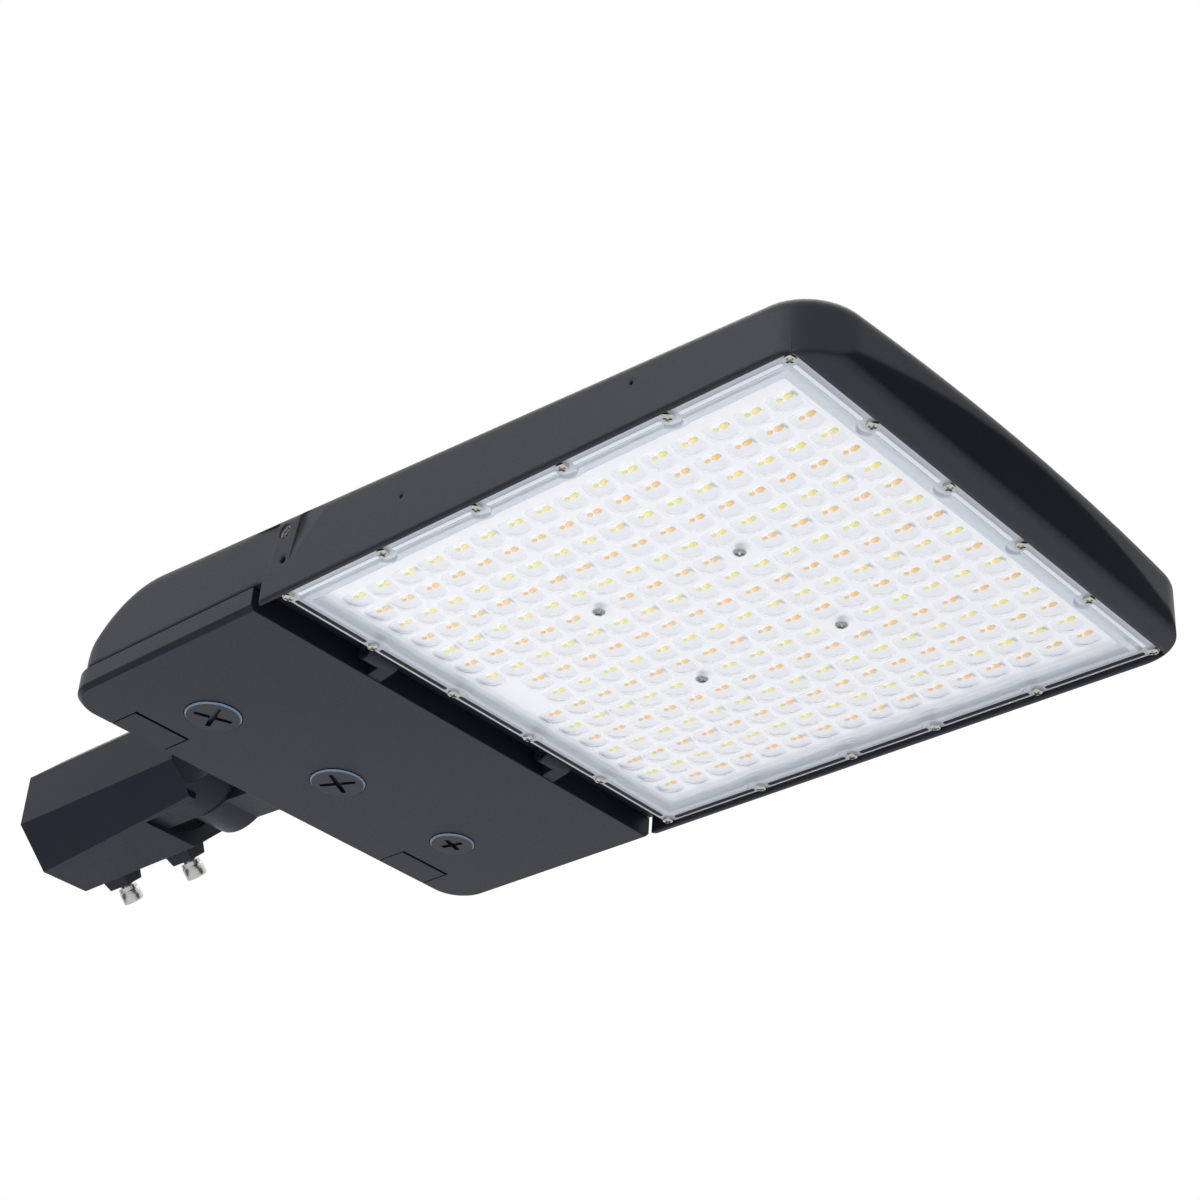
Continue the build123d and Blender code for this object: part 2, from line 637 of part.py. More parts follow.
def pad_scoop(x, z, side, sx):
    """Hollow in a side wall beside the accessory hole, deepest at its top by the pad's edge."""
    wall = side * HALF_W
    edge = x + (PAD_FRONT if sx > 0 else -PAD_REAR)
    sections = []
    for height, shift, long, deep in (
        (z + SCOOP_RISE, 0.0, SCOOP_L, SCOOP_DEPTH),
        (z + SCOOP_RISE - SCOOP_H, -SCOOP_LEAN, SCOOP_TIP, SCOOP_TIP),
    ):
        near = edge + shift
        corners = [(near, wall + side * PAST), (near, wall - side * deep), (near + sx * long, wall)]
        corners.append((near + sx * long, wall + side * PAST))
        sections.append(Pos(0, 0, height) * make_face(Polyline(*corners, close=True)))
    return loft(sections, ruled=True)


def housing():
    """Die-cast housing: driver compartment, LED tray, lens seat, fins, hinge bosses."""
    body = housing_shell()
    body -= fin_grooves()
    # Driver compartment with a sealing flange at its mouth
    cavity = rear_profile(
        WALL, [under_top(BULKHEAD_X, WALL), (BULKHEAD_X, PART_Z)]
    )
    corner = REAR_CORNER_R - WALL
    cavity &= plan_slab(REAR_X + WALL, BULKHEAD_X, WALL, corner, PART_Z + FLANGE_T, TALL)
    mouth_inset = WALL + SEAL_W + SEAL_FIT
    mouth = plan_slab(
        REAR_X + mouth_inset, DOOR_FRONT_X - mouth_inset, mouth_inset, corner - SEAL_W,
        PART_Z - PAST, PART_Z + FLANGE_T + PAST,
    )
    body -= cavity + mouth
    for sy in (1, -1):
        y = sy * LATCH_Y
        body -= box(
            REAR_X + WALL, LATCH_FRONT_X, y - CATCH_W / 2, y + CATCH_W / 2,
            PART_Z - PAST, PART_Z + FLANGE_T + PAST,
        )
    # Recess for the lens panel, open to the hinge gap behind it
    half = LENS_W / 2 + LENS_GAP
    body -= box(SKIRT_REAR_X - PAST, LENS_FRONT_X + LENS_GAP, -half, half, SKIRT_Z - PAST, SEAT_Z)
    body -= box(SKIRT_REAR_X - PAST, LENS_REAR_X, -half, half, SKIRT_Z - PAST, PART_Z)
    body -= box(TRAY_REAR_X, TRAY_FRONT_X, -TRAY_HALF_W, TRAY_HALF_W, SKIRT_Z - PAST, DECK_Z)
    tapped_r = SCREW_R + THREAD_GAP
    tapped_z = LENS_Z + LENS_RIM_T + SCREW_BITE
    body -= [peg_z(x, y, tapped_r, SEAT_Z - PAST, tapped_z) for x, y in rim_screws()]
    body -= [peg_z(x, y, tapped_r, DECK_Z - PAST, DECK_Z + DECK_T) for x, y in centre_screws()]
    # Bosses on the roof and the rear wall
    under_roof = rear_profile(WALL / 2, [under_top(BULKHEAD_X, WALL / 2), (BULKHEAD_X, PART_Z)])
    for x, y in driver_screw_places():
        body += under_roof & peg_z(x, y, DRIVER_BOSS_R, DRIVER_Z, TALL)
        body -= peg_z(x, y, tapped_r, DRIVER_Z - PAST, top_z(x) - WALL)
    body += under_roof & roof_pad(SURGE_SIZE, SURGE_X, SURGE_Y)
    body += under_roof & roof_pad(TERMINAL_SIZE, TERMINAL_X, TERMINAL_Y)
    for y, z in arm_screw_places():
        seat = rear_wall_x(z, WALL) + ARM_BOSS_L
        boss = peg_x(y, z, ARM_BOSS_R, REAR_X, seat, HEAD_SIDES)
        body += under_roof & boss
        body -= peg_x(y, z, ARM_SCREW_R + SCREW_HOLE_GAP, REAR_X - PAST, seat + PAST)
    # Hinge bosses in the gap behind the lens
    for sy in (1, -1):
        y0, y1 = hinge_boss_span(sy * HINGE_Y)
        boss = peg_y(HINGE_X, HINGE_Z, HINGE_BOSS_R, y0, y1, RING_SIDES)
        boss += box(HINGE_X - HINGE_BOSS_R, HINGE_X + HINGE_BOSS_R, y0, y1, HINGE_Z, PART_Z + PAST)
        body += boss - rod_y(HINGE_X, HINGE_Z, PIN_R + PIN_PRESS, y0 - PAST, y1 + PAST)
    # Holes in the side walls
    for sy in (1, -1):
        x = LENS_REAR_X + ACCESSORY_X
        z = LENS_Z + ACCESSORY_Z
        deep = sorted((sy * (HALF_W - ACCESSORY_DEPTH), sy * (HALF_W + PAST)))
        body -= rod_y(x, z, ACCESSORY_R, *deep)
        body -= [pad_scoop(x, z, sy, sx) for sx in (1, -1)]
        body -= peg_y(x + LOCK_HOLE_AHEAD, z - LOCK_HOLE_DROP, LOCK_HOLE_R, *deep)
        deep = sorted((sy * (HALF_W - VISOR_HOLE_DEPTH), sy * (HALF_W + PAST)))
        for sx in (1, -1):
            body -= peg_y(LENS_X + sx * VISOR_HOLE_X, LENS_Z + VISOR_HOLE_Z, VISOR_HOLE_R, *deep)
    return body


def lens_panel():
    """Moulded panel: flat rim, sunk field, one dome per light and a post round each centre screw."""
    def sheet(inset, z0, z1):
        corner = LENS_CORNER_R
        face = Pos(LENS_X, 0) * RectangleRounded(LENS_L - 2 * inset, LENS_W - 2 * inset, corner)
        return Pos(0, 0, z0) * extrude(face, z1 - z0)

    body = sheet(0, LENS_Z, LENS_Z + LENS_RIM_T) + sheet(SEAT_W + LENS_GAP, LENS_Z, FIELD_TOP)
    body -= sheet(LENS_RIM_W, LENS_Z - PAST, FIELD_Z)
    body += [peg_z(x, y, FIELD_POST_R, FIELD_Z, BOARD_Z) for x, y in centre_screws()]
    hole_r = SCREW_R + SCREW_HOLE_GAP
    body -= [peg_z(x, y, hole_r, LENS_Z - PAST, BOARD_Z + PAST) for x, y in rim_screws() + centre_screws()]
    taper = degrees(atan2(DOME_LEAN, DOME_H))
    dome = Rot(180, 0, 0) * extrude(Rectangle(DOME_L, DOME_W), DOME_H, taper=taper)
    return body.fuse(*[Pos(x, y, FIELD_Z) * dome for x, y in light_places(range(ROWS))], glue=True)


def lens_gasket():
    """Flat seal between the panel's rim and its seat."""
    z0 = LENS_Z + LENS_RIM_T
    outer = box(LENS_REAR_X, LENS_FRONT_X, -LENS_W / 2, LENS_W / 2, z0, SEAT_Z)
    inner_x = LENS_L / 2 - GASKET_W
    inner_y = LENS_W / 2 - GASKET_W
    ring = outer - box(LENS_X - inner_x, LENS_X + inner_x, -inner_y, inner_y, z0 - PAST, SEAT_Z + PAST)
    hole_r = SCREW_R + SCREW_HOLE_GAP
    return ring - [peg_z(x, y, hole_r, z0 - PAST, SEAT_Z + PAST) for x, y in rim_screws()]


def screw_up(x, y, seat, bite):
    """Pan-head screw driven upwards, head below its seat."""
    head = peg_z(x, y, SCREW_HEAD_R, seat - SCREW_HEAD_H, seat, HEAD_SIDES)
    return head + peg_z(x, y, SCREW_R, seat - PAST, seat + bite)


def lens_screws():
    """Screws round the rim."""
    return Compound([screw_up(x, y, LENS_Z, LENS_RIM_T + SCREW_BITE - PAST) for x, y in rim_screws()])


def lens_centre_screws():
    """Screws in the field."""
    bite = DECK_Z + DECK_T - FIELD_Z - PAST
    return Compound([screw_up(x, y, FIELD_Z, bite) for x, y in centre_screws()])


def led_board():
    """Board behind the lens."""
    board = box(
        TRAY_REAR_X + BOARD_GAP, TRAY_FRONT_X - BOARD_GAP,
        BOARD_GAP - TRAY_HALF_W, TRAY_HALF_W - BOARD_GAP, BOARD_Z, DECK_Z,
    )
    for x, y in centre_screws():
        board -= peg_z(x, y, SCREW_R + SCREW_HOLE_GAP, BOARD_Z - PAST, DECK_Z + PAST)
    return board


def leds(columns):
    """Light packages in every second column."""
    half = LED_SIZE / 2
    z0 = BOARD_Z - LED_T
    places = light_places(columns)
    return Compound([box(x - half, x + half, y - half, y + half, z0, BOARD_Z) for x, y in places])


def hinge_pins():
    """Pin through each hinge boss and the door's arm."""
    pins = []
    for sy in (1, -1):
        start = hinge_boss_span(sy * HINGE_Y)[0]
        pins.append(rod_y(HINGE_X, HINGE_Z, PIN_R, start, sy * HINGE_Y + ARM_W / 2))
    return Compound(pins)


def led_driver():
    """Supply in a flat case with ears at both ends."""
    def slab(half, height):
        y0 = DRIVER_Y - half
        return box(DRIVER_REAR, DRIVER_FRONT, y0, y0 + 2 * half, DRIVER_Z - height, DRIVER_Z)

    case = slab(DRIVER_W / 2, DRIVER_T) + slab(DRIVER_W / 2 + DRIVER_EAR_L, DRIVER_EAR_T)
    for x, y in driver_screw_places():
        case -= peg_z(x, y, SCREW_R + SCREW_HOLE_GAP, DRIVER_Z - DRIVER_T - PAST, DRIVER_Z + PAST)
    return case


def driver_screws():
    """Screws through the driver's ears."""
    seat = DRIVER_Z - DRIVER_EAR_T
    bite = DRIVER_EAR_T + DRIVER_TOP - PAST
    return Compound([screw_up(x, y, seat, bite) for x, y in driver_screw_places()])


def hung_block(size, x, y):
    """Block under its pad on the roof."""
    return box(
        x - size[0] / 2, x + size[0] / 2, y - size[1] / 2, y + size[1] / 2, DRIVER_Z - size[2], DRIVER_Z
    )


def door_outside():
    """Outside of the door: rounded rear corners, sloping rear, softened lower edge."""
    body = plan_slab(DOOR_REAR_X, DOOR_FRONT_X, 0, DOOR_CORNER_R, DOOR_Z, DOOR_TOP_Z)
    under = body.faces().filter_by(Axis.Z).sort_by(Axis.Z)[0]
    edges = [e for e in under.edges() if e.center().X < DOOR_FRONT_X - PAST]
    body = chamfer(edges, DOOR_CHAMFER)
    return body - side_shape(
        [
            (DOOR_REAR_X, DOOR_Z),
            (REAR_X, DOOR_TOP_Z),
            (REAR_X, DOOR_TOP_Z + PAST),
            (DOOR_REAR_X - PAST, DOOR_TOP_Z + PAST),
            (DOOR_REAR_X - PAST, DOOR_Z),
        ]
    )


def plug_places():
    """Plug centres across the door, with head radius, slot length and the turn of the cross."""
    return {
        "selector_plug_left": (-PLUG_Y, PLUG_HEAD_R, SELECTOR_SLOT_L, PLUG_TURNS[0]),
        "selector_plug_middle": (0.0, PLUG_HEAD_R, SELECTOR_SLOT_L, PLUG_TURNS[1]),
        "sensor_plug": (PLUG_Y, SENSOR_HEAD_R, SENSOR_SLOT_L, PLUG_TURNS[2]),
    }


def driver_door():
    """Door pan with seal ledge, hinge arms, plug bosses, latch openings and spring stops."""
    body = door_outside()
    inner_rear = DOOR_REAR_X + WALL
    hollow = side_shape(
        [
            (inner_rear, SKIN_Z),
            (DOOR_FRONT_X - WALL, SKIN_Z),
            (DOOR_FRONT_X - WALL, PART_Z),
            (REAR_X + WALL, PART_Z),
        ]
    )
    corner = DOOR_CORNER_R - WALL
    hollow &= plan_slab(inner_rear, DOOR_FRONT_X - WALL, WALL, corner, SKIN_Z, PART_Z)
    body -= hollow
    ledge_z = PART_Z - SEAL_H
    ledge = plan_slab(
        REAR_X + WALL - PAST, DOOR_FRONT_X - WALL, WALL, corner, ledge_z - SEAL_LEDGE_T, ledge_z
    )
    inset = WALL + SEAL_W
    ledge -= plan_slab(
        REAR_X + inset, DOOR_FRONT_X - inset, inset, corner - SEAL_W, ledge_z - TALL / 2, ledge_z + PAST
    )
    body += ledge & hollow
    for sy in (1, -1):
        y0 = sy * RIB_Y - RIB_T / 2
        body += box(PLUG_X - SWITCH_SIZE, DOOR_FRONT_X - WALL, y0, y0 + RIB_T, SKIN_Z, SKIN_Z + RIB_H)
    # Hinge arms
    for sy in (1, -1):
        y0 = sy * HINGE_Y - ARM_W / 2
        y1 = y0 + ARM_W
        arm = side_shape(
            [
                (DOOR_FRONT_X - WALL, DOOR_Z),
                (HINGE_X, HINGE_Z - ARM_EYE_R),
                (HINGE_X, HINGE_Z + ARM_EYE_R),
                (DOOR_FRONT_X - WALL, DOOR_Z + ARM_ROOT_H),
            ]
        )
        arm &= box(0, HINGE_X, y0, y1, -TALL, TALL)
        arm += peg_y(HINGE_X, HINGE_Z, ARM_EYE_R, y0, y1, RING_SIDES)
        body += arm - rod_y(HINGE_X, HINGE_Z, PIN_R + PIN_RUN, y0 - PAST, y1 + PAST)
    # Plug bosses
    for y, head_r, *_ in plug_places().values():
        shank_r = head_r - PLUG_LEDGE
        body += peg_z(PLUG_X, y, shank_r + PLUG_BOSS_WALL, SKIN_Z - PAST, PLUG_BOSS_Z, HEAD_SIDES)
        body -= rod_z(PLUG_X, y, shank_r + PLUG_RUN, DOOR_Z - PAST, PLUG_BOSS_Z + PAST)
        body -= peg_z(PLUG_X, y, head_r + PLUG_RIM_GAP, DOOR_Z - PAST, DOOR_Z + PLUG_SINK, RING_SIDES)
    # Latch openings and spring stops
    for sy in (1, -1):
        y = sy * LATCH_Y
        half = LATCH_W / 2 + LATCH_SIDE_GAP
        body -= box(
            DOOR_REAR_X - PAST, LATCH_FRONT_X + LATCH_FRONT_GAP, y - half, y + half,
            DOOR_Z - PAST, SKIN_Z + LATCH_LIFT + LATCH_GUIDE_T + LATCH_LIFT,
        )
        stop_x = LATCH_FRONT_X - LATCH_FRONT_GAP + SPRING_L
        y0 = y - STOP_W / 2
        body += box(stop_x, stop_x + STOP_T, y0, y0 + STOP_W, SKIN_Z - PAST, SKIN_Z + STOP_H)
    return body


def door_seal():
    """Seal on the ledge inside the door."""
    z0 = PART_Z - SEAL_H
    near = WALL + SEAL_FIT
    far = WALL + SEAL_W
    corner = DOOR_CORNER_R - WALL
    ring = plan_slab(REAR_X + near, DOOR_FRONT_X - near, near, corner, z0, PART_Z)
    inner = corner - SEAL_W
    return ring - plan_slab(REAR_X + far, DOOR_FRONT_X - far, far, inner, z0 - PAST, PART_Z + PAST)


def latch(y):
    """Tab flush with the door's face, guide plate inside it, stem and hook."""
    def block(x0, x1, width, z0, z1):
        return box(x0, x1, y - width / 2, y + width / 2, z0, z1)

    front = LATCH_FRONT_X - LATCH_FRONT_GAP
    rear = front - LATCH_GUIDE_L
    guide_z = SKIN_Z + LATCH_LIFT
    hook_z = SKIN_Z + LATCH_STEM_H
    stem_x = front - LATCH_STEM_T
    body = door_outside() & block(DOOR_REAR_X - PAST, LATCH_FRONT_X, LATCH_W, DOOR_Z - PAST, SKIN_Z)
    body += block(rear, front, LATCH_W, SKIN_Z - PAST, guide_z + LATCH_GUIDE_T)
    body += block(rear, front, LATCH_GUIDE_W, guide_z, guide_z + LATCH_GUIDE_T)
    body += block(stem_x, front, LATCH_STEM_W, guide_z, hook_z)
    return body + block(stem_x - LATCH_HOOK_L, front, LATCH_STEM_W, hook_z - LATCH_HOOK_H, hook_z)


def latch_spring(y):
    """Compression spring between the latch's stem and the stop on the door, drawn as its envelope."""
    start = LATCH_FRONT_X - LATCH_FRONT_GAP
    return peg_x(y, SKIN_Z + SPRING_Z, SPRING_R, start, start + SPRING_L, HEAD_SIDES)


def plug(y, head_r, slot_l, turn):
    """Screw plug with a cross slot in its face."""
    seat = DOOR_Z + PLUG_SINK - PLUG_SEAL_T
    face = seat - PLUG_HEAD_T
    body = peg_z(PLUG_X, y, head_r, face, seat, RING_SIDES)
    body += rod_z(PLUG_X, y, head_r - PLUG_LEDGE, seat - PAST, seat + PLUG_SHANK_L)
    for angle in (turn, turn + 90):
        slot = Box(slot_l, SLOT_W, 2 * SLOT_DEPTH)
        body -= Pos(PLUG_X, y, face) * Rot(0, 0, angle) * slot
    return body


def plug_seals():
    """Flat ring under each plug's head."""
    rings = []
    z1 = DOOR_Z + PLUG_SINK
    z0 = z1 - PLUG_SEAL_T
    for y, head_r, *_ in plug_places().values():
        ring = peg_z(PLUG_X, y, head_r - PLUG_RIM_GAP, z0, z1, RING_SIDES)
        hole_r = head_r - PLUG_LEDGE + SCREW_HOLE_GAP
        rings.append(ring - peg_z(PLUG_X, y, hole_r, z0 - PAST, z1 + PAST, RING_SIDES))
    return Compound(rings)


def switch(y):
    """Switch on a plug boss, with a hole for its dial's stem."""
    half = SWITCH_SIZE / 2
    body = box(PLUG_X - half, PLUG_X + half, y - half, y + half, PLUG_BOSS_Z, PLUG_BOSS_Z + SWITCH_T)
    hole_z = PLUG_BOSS_Z + DIAL_STEM_L + DIAL_GAP
    return body - rod_z(PLUG_X, y, DIAL_STEM_R + DIAL_RUN, PLUG_BOSS_Z - PAST, hole_z)


def dial(y):
    """Selector dial with a screwdriver slot."""
    top = PLUG_BOSS_Z - DIAL_GAP
    body = peg_z(PLUG_X, y, DIAL_R, top - DIAL_T, top, HEAD_SIDES)
    body += peg_z(PLUG_X, y, DIAL_STEM_R, top - PAST, PLUG_BOSS_Z + DIAL_STEM_L, HEAD_SIDES)
    return body - Pos(PLUG_X, y, top - DIAL_T) * Box(DIAL_SLOT_L, SLOT_W, DIAL_T)


def sensor_socket(y):
    """Receptacle on the small plug's boss."""
    half = SWITCH_SIZE / 2
    body = box(PLUG_X - half, PLUG_X + half, y - half, y + half, PLUG_BOSS_Z, PLUG_BOSS_Z + SWITCH_T)
    return body - peg_z(PLUG_X, y, DIAL_R, PLUG_BOSS_Z - PAST, PLUG_BOSS_Z + DIAL_STEM_L, HEAD_SIDES)


pieces = {
    "slip_fitter": slip_fitter(),
    "tenon_clamp_bolts": tenon_clamp_bolts(),
    "clamp_bolt_collars": clamp_bolt_collars(),
    "knuckle_bolt": knuckle_bolt(),
    "knuckle_washer": knuckle_washer(),
    "knuckle_arm": knuckle_arm(),
    "arm_gasket": arm_gasket(),
    "arm_screws": arm_screws(),
    "housing": housing(),
    "lens_panel": lens_panel(),
    "lens_gasket": lens_gasket(),
    "lens_screws": lens_screws(),
    "lens_centre_screws": lens_centre_screws(),
    "led_board": led_board(),
    "cool_white_leds": leds(range(0, ROWS, 2)),
    "warm_white_leds": leds(range(1, ROWS, 2)),
    "hinge_pins": hinge_pins(),
    "led_driver": led_driver(),
    "driver_screws": driver_screws(),
    "surge_protector": hung_block(SURGE_SIZE, SURGE_X, SURGE_Y),
    "terminal_block": hung_block(TERMINAL_SIZE, TERMINAL_X, TERMINAL_Y),
    "driver_door": driver_door(),
    "door_seal": door_seal(),
    "latch_left": latch(-LATCH_Y),
    "latch_right": latch(LATCH_Y),
    "latch_spring_left": latch_spring(-LATCH_Y),
    "latch_spring_right": latch_spring(LATCH_Y),
    "plug_seals": plug_seals(),
    "output_switch": switch(-PLUG_Y),
    "colour_switch": switch(0.0),
    "output_dial": dial(-PLUG_Y),
    "colour_dial": dial(0.0),
    "sensor_socket": sensor_socket(PLUG_Y),
}
pieces.update({name: plug(*place) for name, place in plug_places().items()})

for name, shape in pieces.items():
    export_step(shape, f"parts/{name}.step")
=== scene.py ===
import math

import bmesh
import bpy
import numpy as np
from mathutils import Matrix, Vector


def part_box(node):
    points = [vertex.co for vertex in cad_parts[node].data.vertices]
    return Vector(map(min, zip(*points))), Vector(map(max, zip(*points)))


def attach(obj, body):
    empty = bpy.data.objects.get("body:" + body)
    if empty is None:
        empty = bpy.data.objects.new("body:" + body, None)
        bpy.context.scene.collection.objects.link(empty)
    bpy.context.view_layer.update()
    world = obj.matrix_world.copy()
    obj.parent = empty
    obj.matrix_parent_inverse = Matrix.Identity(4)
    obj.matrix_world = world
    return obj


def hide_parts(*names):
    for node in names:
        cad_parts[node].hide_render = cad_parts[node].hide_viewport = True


bl_info = {
    "name": "Area light on a slip fitter",
    "version": (1, 0, 0),
    "blender": (4, 5, 0),
    "location": "View3D > Sidebar > Area Light",
    "description": "Dresses the area light with its castings, lens panel, lights, fasteners and stage",
    "category": "Object",
}

MM = 0.001
ROWS = 16  # cells of the lens field each way
MIDDLE = (ROWS - 1) / 2
DARK_CELLS = ((5, 5), (5, 10), (10, 5), (10, 10), (15, 7), (15, 8))  # screws and a plain patch
SIDE_SCREWS = np.array([27.0, 89.5]) * MM  # rim screws from the panel's centre along X
END_SCREWS = np.array([29.0, 87.0]) * MM  # and along Y
FIELD_SCREWS = np.array([44.7, 40.0]) * MM  # screws in the field along X and Y
NOISE_MIDDLE = {"From Min": 0.3, "From Max": 0.7}  # most of a noise lies between these

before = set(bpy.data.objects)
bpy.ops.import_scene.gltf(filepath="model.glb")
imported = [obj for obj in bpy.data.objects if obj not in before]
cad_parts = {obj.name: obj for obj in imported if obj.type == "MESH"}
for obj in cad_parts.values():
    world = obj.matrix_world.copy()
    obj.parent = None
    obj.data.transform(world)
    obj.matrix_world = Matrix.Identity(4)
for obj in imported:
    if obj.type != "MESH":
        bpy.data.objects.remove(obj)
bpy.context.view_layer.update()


def node_box(node):
    """Low and high corner of a CAD node as arrays, in metres."""
    return [np.array(corner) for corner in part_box(node)]


def linear(code):
    """Linear red, green, blue and alpha of an sRGB hex code."""
    parts = np.array([int(code[i : i + 2], 16) for i in (1, 3, 5)]) / 255.0
    parts = np.where(parts <= 0.04045, parts / 12.92, ((parts + 0.055) / 1.055) ** 2.4)
    return (*[float(p) for p in parts], 1.0)


def size(name, description, millimetres):
    """A length property with its default in millimetres."""
    return bpy.props.FloatProperty(
        name=name, description=description, default=millimetres * MM, unit="LENGTH", precision=5
    )


def colour(name, description, code):
    """A colour property with its default as an sRGB hex code."""
    return bpy.props.FloatVectorProperty(
        name=name, description=description, default=linear(code), size=4, subtype="COLOR", min=0.0, max=1.0
    )


class AreaLightSizes(bpy.types.PropertyGroup):
    """Sizes of the pieces that the scene adds."""

    row_pitch: size("Row pitch", "Lights along the body", 17.86)
    column_pitch: size("Column pitch", "Lights across the body", 16.0)
    dome_length: size("Dome length", "Length of one lens dome", 16.8)
    dome_width: size("Dome width", "Width of one lens dome", 14.8)
    dome_height: size("Dome height", "Height of one lens dome", 2.4)
    field_set: size("Field depth", "Field behind the face of the rim", 2.4)
    field_thick: size("Field thickness", "Wall of the lens field", 1.2)
    rim_width: size("Rim width", "Edge of the panel to its field", 16.0)
    seam: size("Seam", "Line between rim and field", 0.06)
    corner: size("Corner radius", "Corner of the lens panel", 6.0)
    corner_least: size("Least corner radius", "Corner of the rim's inner lines", 0.3)
    pocket: size("Pocket radius", "Hollow in the rim's ridge round a screw", 6.6)
    ridge_inset: size("Ridge inset", "Edge of the panel to the foot of the ridge", 7.2)
    screw_inset: size("Screw inset", "Edge of the panel to the screws", 3.8)
    screw_head: size("Screw head", "Radius of a pan head", 2.8)
    screw_washer: size("Screw washer", "Radius of the washer under a pan head", 3.4)
    screw_height: size("Screw height", "Height of a pan head", 1.9)
    field_boss: size("Field boss", "Seat of a screw behind the field", 1.0)
    dab_length: size("Dab length", "Length of a long phosphor dab", 6.8)
    dab_width: size("Dab width", "Width of a long phosphor dab", 3.8)
    plug_chamfer: size("Plug chamfer", "Chamfer round a plug's face", 0.9)
    plug_head: size("Plug head", "Thickness of a plug's head", 1.6)
    slot_width: size("Slot width", "Width of the cross slots", 3.0)
    slot_depth: size("Slot depth", "Depth of the cross slots", 2.4)
    bolt_head: size("Bolt head", "Radius of a clamp bolt's head", 6.5)
    accessory_x: size("Accessory hole ahead", "Side hole past the panel's rear edge", 1.8)
    accessory_z: size("Accessory hole height", "Side hole above the lens rim", 35.4)
    knuckle_x: size("Knuckle", "Knuckle axis from the mouth of the socket", 133.0)
    knuckle_radius: size("Knuckle radius", "Discs of the knuckle", 32.0)


class AreaLightColours(bpy.types.PropertyGroup):
    """Colours of the finishes."""

    coat: colour("Powder coat", "Charcoal coat of the castings", "#191c26")
    teeth: colour("Teeth", "Shaded teeth of the knuckle", "#070709")
    plug: colour("Plug", "Moulded plugs and latches", "#171a22")
    # A painted highlight: pale blue on the plugs' chamfers
    plug_edge: colour("Plug edge", "Painted highlight on the chamfer round each plug", "#6d8298")
    steel: colour("Steel", "Stainless fasteners", "#c9c8c5")
    # Painted shade: steel darker than the rim screws', for the field screws, and at half for the inserts
    screw: colour("Screw", "Stainless steel darkened as painted shade, for the field screws and inserts", "#a3a3a2")
    gasket: colour("Gasket", "Silicone gasket behind the rim", "#b4bdcb")
    # Black of the real sponge seals, also used as the painted shade of the dark rim strips
    strip: colour("Strip", "Sponge rubber", "#15171a")
    lens: colour("Lens", "Clear lens panel", "#fafbfd")
    rim: colour("Lens rim", "Thick rim of the lens panel", "#e6eaf0")
    board: colour("Board", "White solder mask", "#f6f7f9")
    # A painted highlight: white of the lit ridge on the front and near sides
    bar: colour("Bar", "White strips in the rim", "#dfe3ea")
    chip: colour("Chip", "Small parts on the board", "#6f7580")
    cool: colour("Cool phosphor", "Phosphor of the cool lights", "#fce97e")
    warm: colour("Warm phosphor", "Phosphor of the warm lights", "#ffc870")
    case: colour("Case", "Drawn case of the driver", "#b9babc")
    black: colour("Black", "Black moulded parts", "#1a1a1c")
    white: colour("White", "White moulded parts", "#d9d8d2")
    floor: colour("Floor", "Studio floor", "#f2f2f2")
    velvet: colour("Velvet", "Black cards of the studio", "#060606")


def sizes():
    """The size properties of this scene."""
    return bpy.context.scene.area_light_sizes


def tint(key):
    """A colour property of this scene as a plain tuple."""
    return tuple(getattr(bpy.context.scene.area_light_colours, key))


def add_node(tree, kind, inputs=None, **settings):
    """Adds a node, sets its fields, and links or sets its inputs."""
    made = tree.nodes.new(kind)
    for key, value in settings.items():
        setattr(made, key, value)
    for key, value in (inputs or {}).items():
        if isinstance(value, bpy.types.NodeSocket):
            tree.links.new(value, made.inputs[key])
        else:
            made.inputs[key].default_value = value
    return made


def start_material(name):
    """A new node material, its tree and its Object coordinates."""
    material = bpy.data.materials.new(name)
    material.use_nodes = True
    tree = material.node_tree
    tree.nodes.clear()
    return material, tree, add_node(tree, "ShaderNodeTexCoord").outputs["Object"]


def per_metre(millimetres):
    """Texture scale on Object coordinates for a feature of that size."""
    return 1.0 / (millimetres * MM)


def shaded(shade, share):
    """A colour made darker or lighter by a share."""
    return (*[c * share for c in shade[:3]], 1.0)


def end_opaque(tree, pattern, strength, depth, gloss, inputs, normal=None):
    """Ends the tree of an opaque finish. A pattern gives it relief, with the depth in millimetres, and a
    roughness between two values."""
    relief = {"Height": pattern, "Strength": strength, "Distance": depth * MM}
    bump = add_node(tree, "ShaderNodeBump", relief if normal is None else {**relief, "Normal": normal})
    levels = {**NOISE_MIDDLE, "To Min": gloss[0], "To Max": gloss[1]}
    rough = add_node(tree, "ShaderNodeMapRange", {"Value": pattern, **levels})
    surface = {"Roughness": rough.outputs["Result"], "Normal": bump.outputs["Normal"], **inputs}
    shader = add_node(tree, "ShaderNodeBsdfPrincipled", surface)
    add_node(tree, "ShaderNodeOutputMaterial", {"Surface": shader.outputs["BSDF"]})


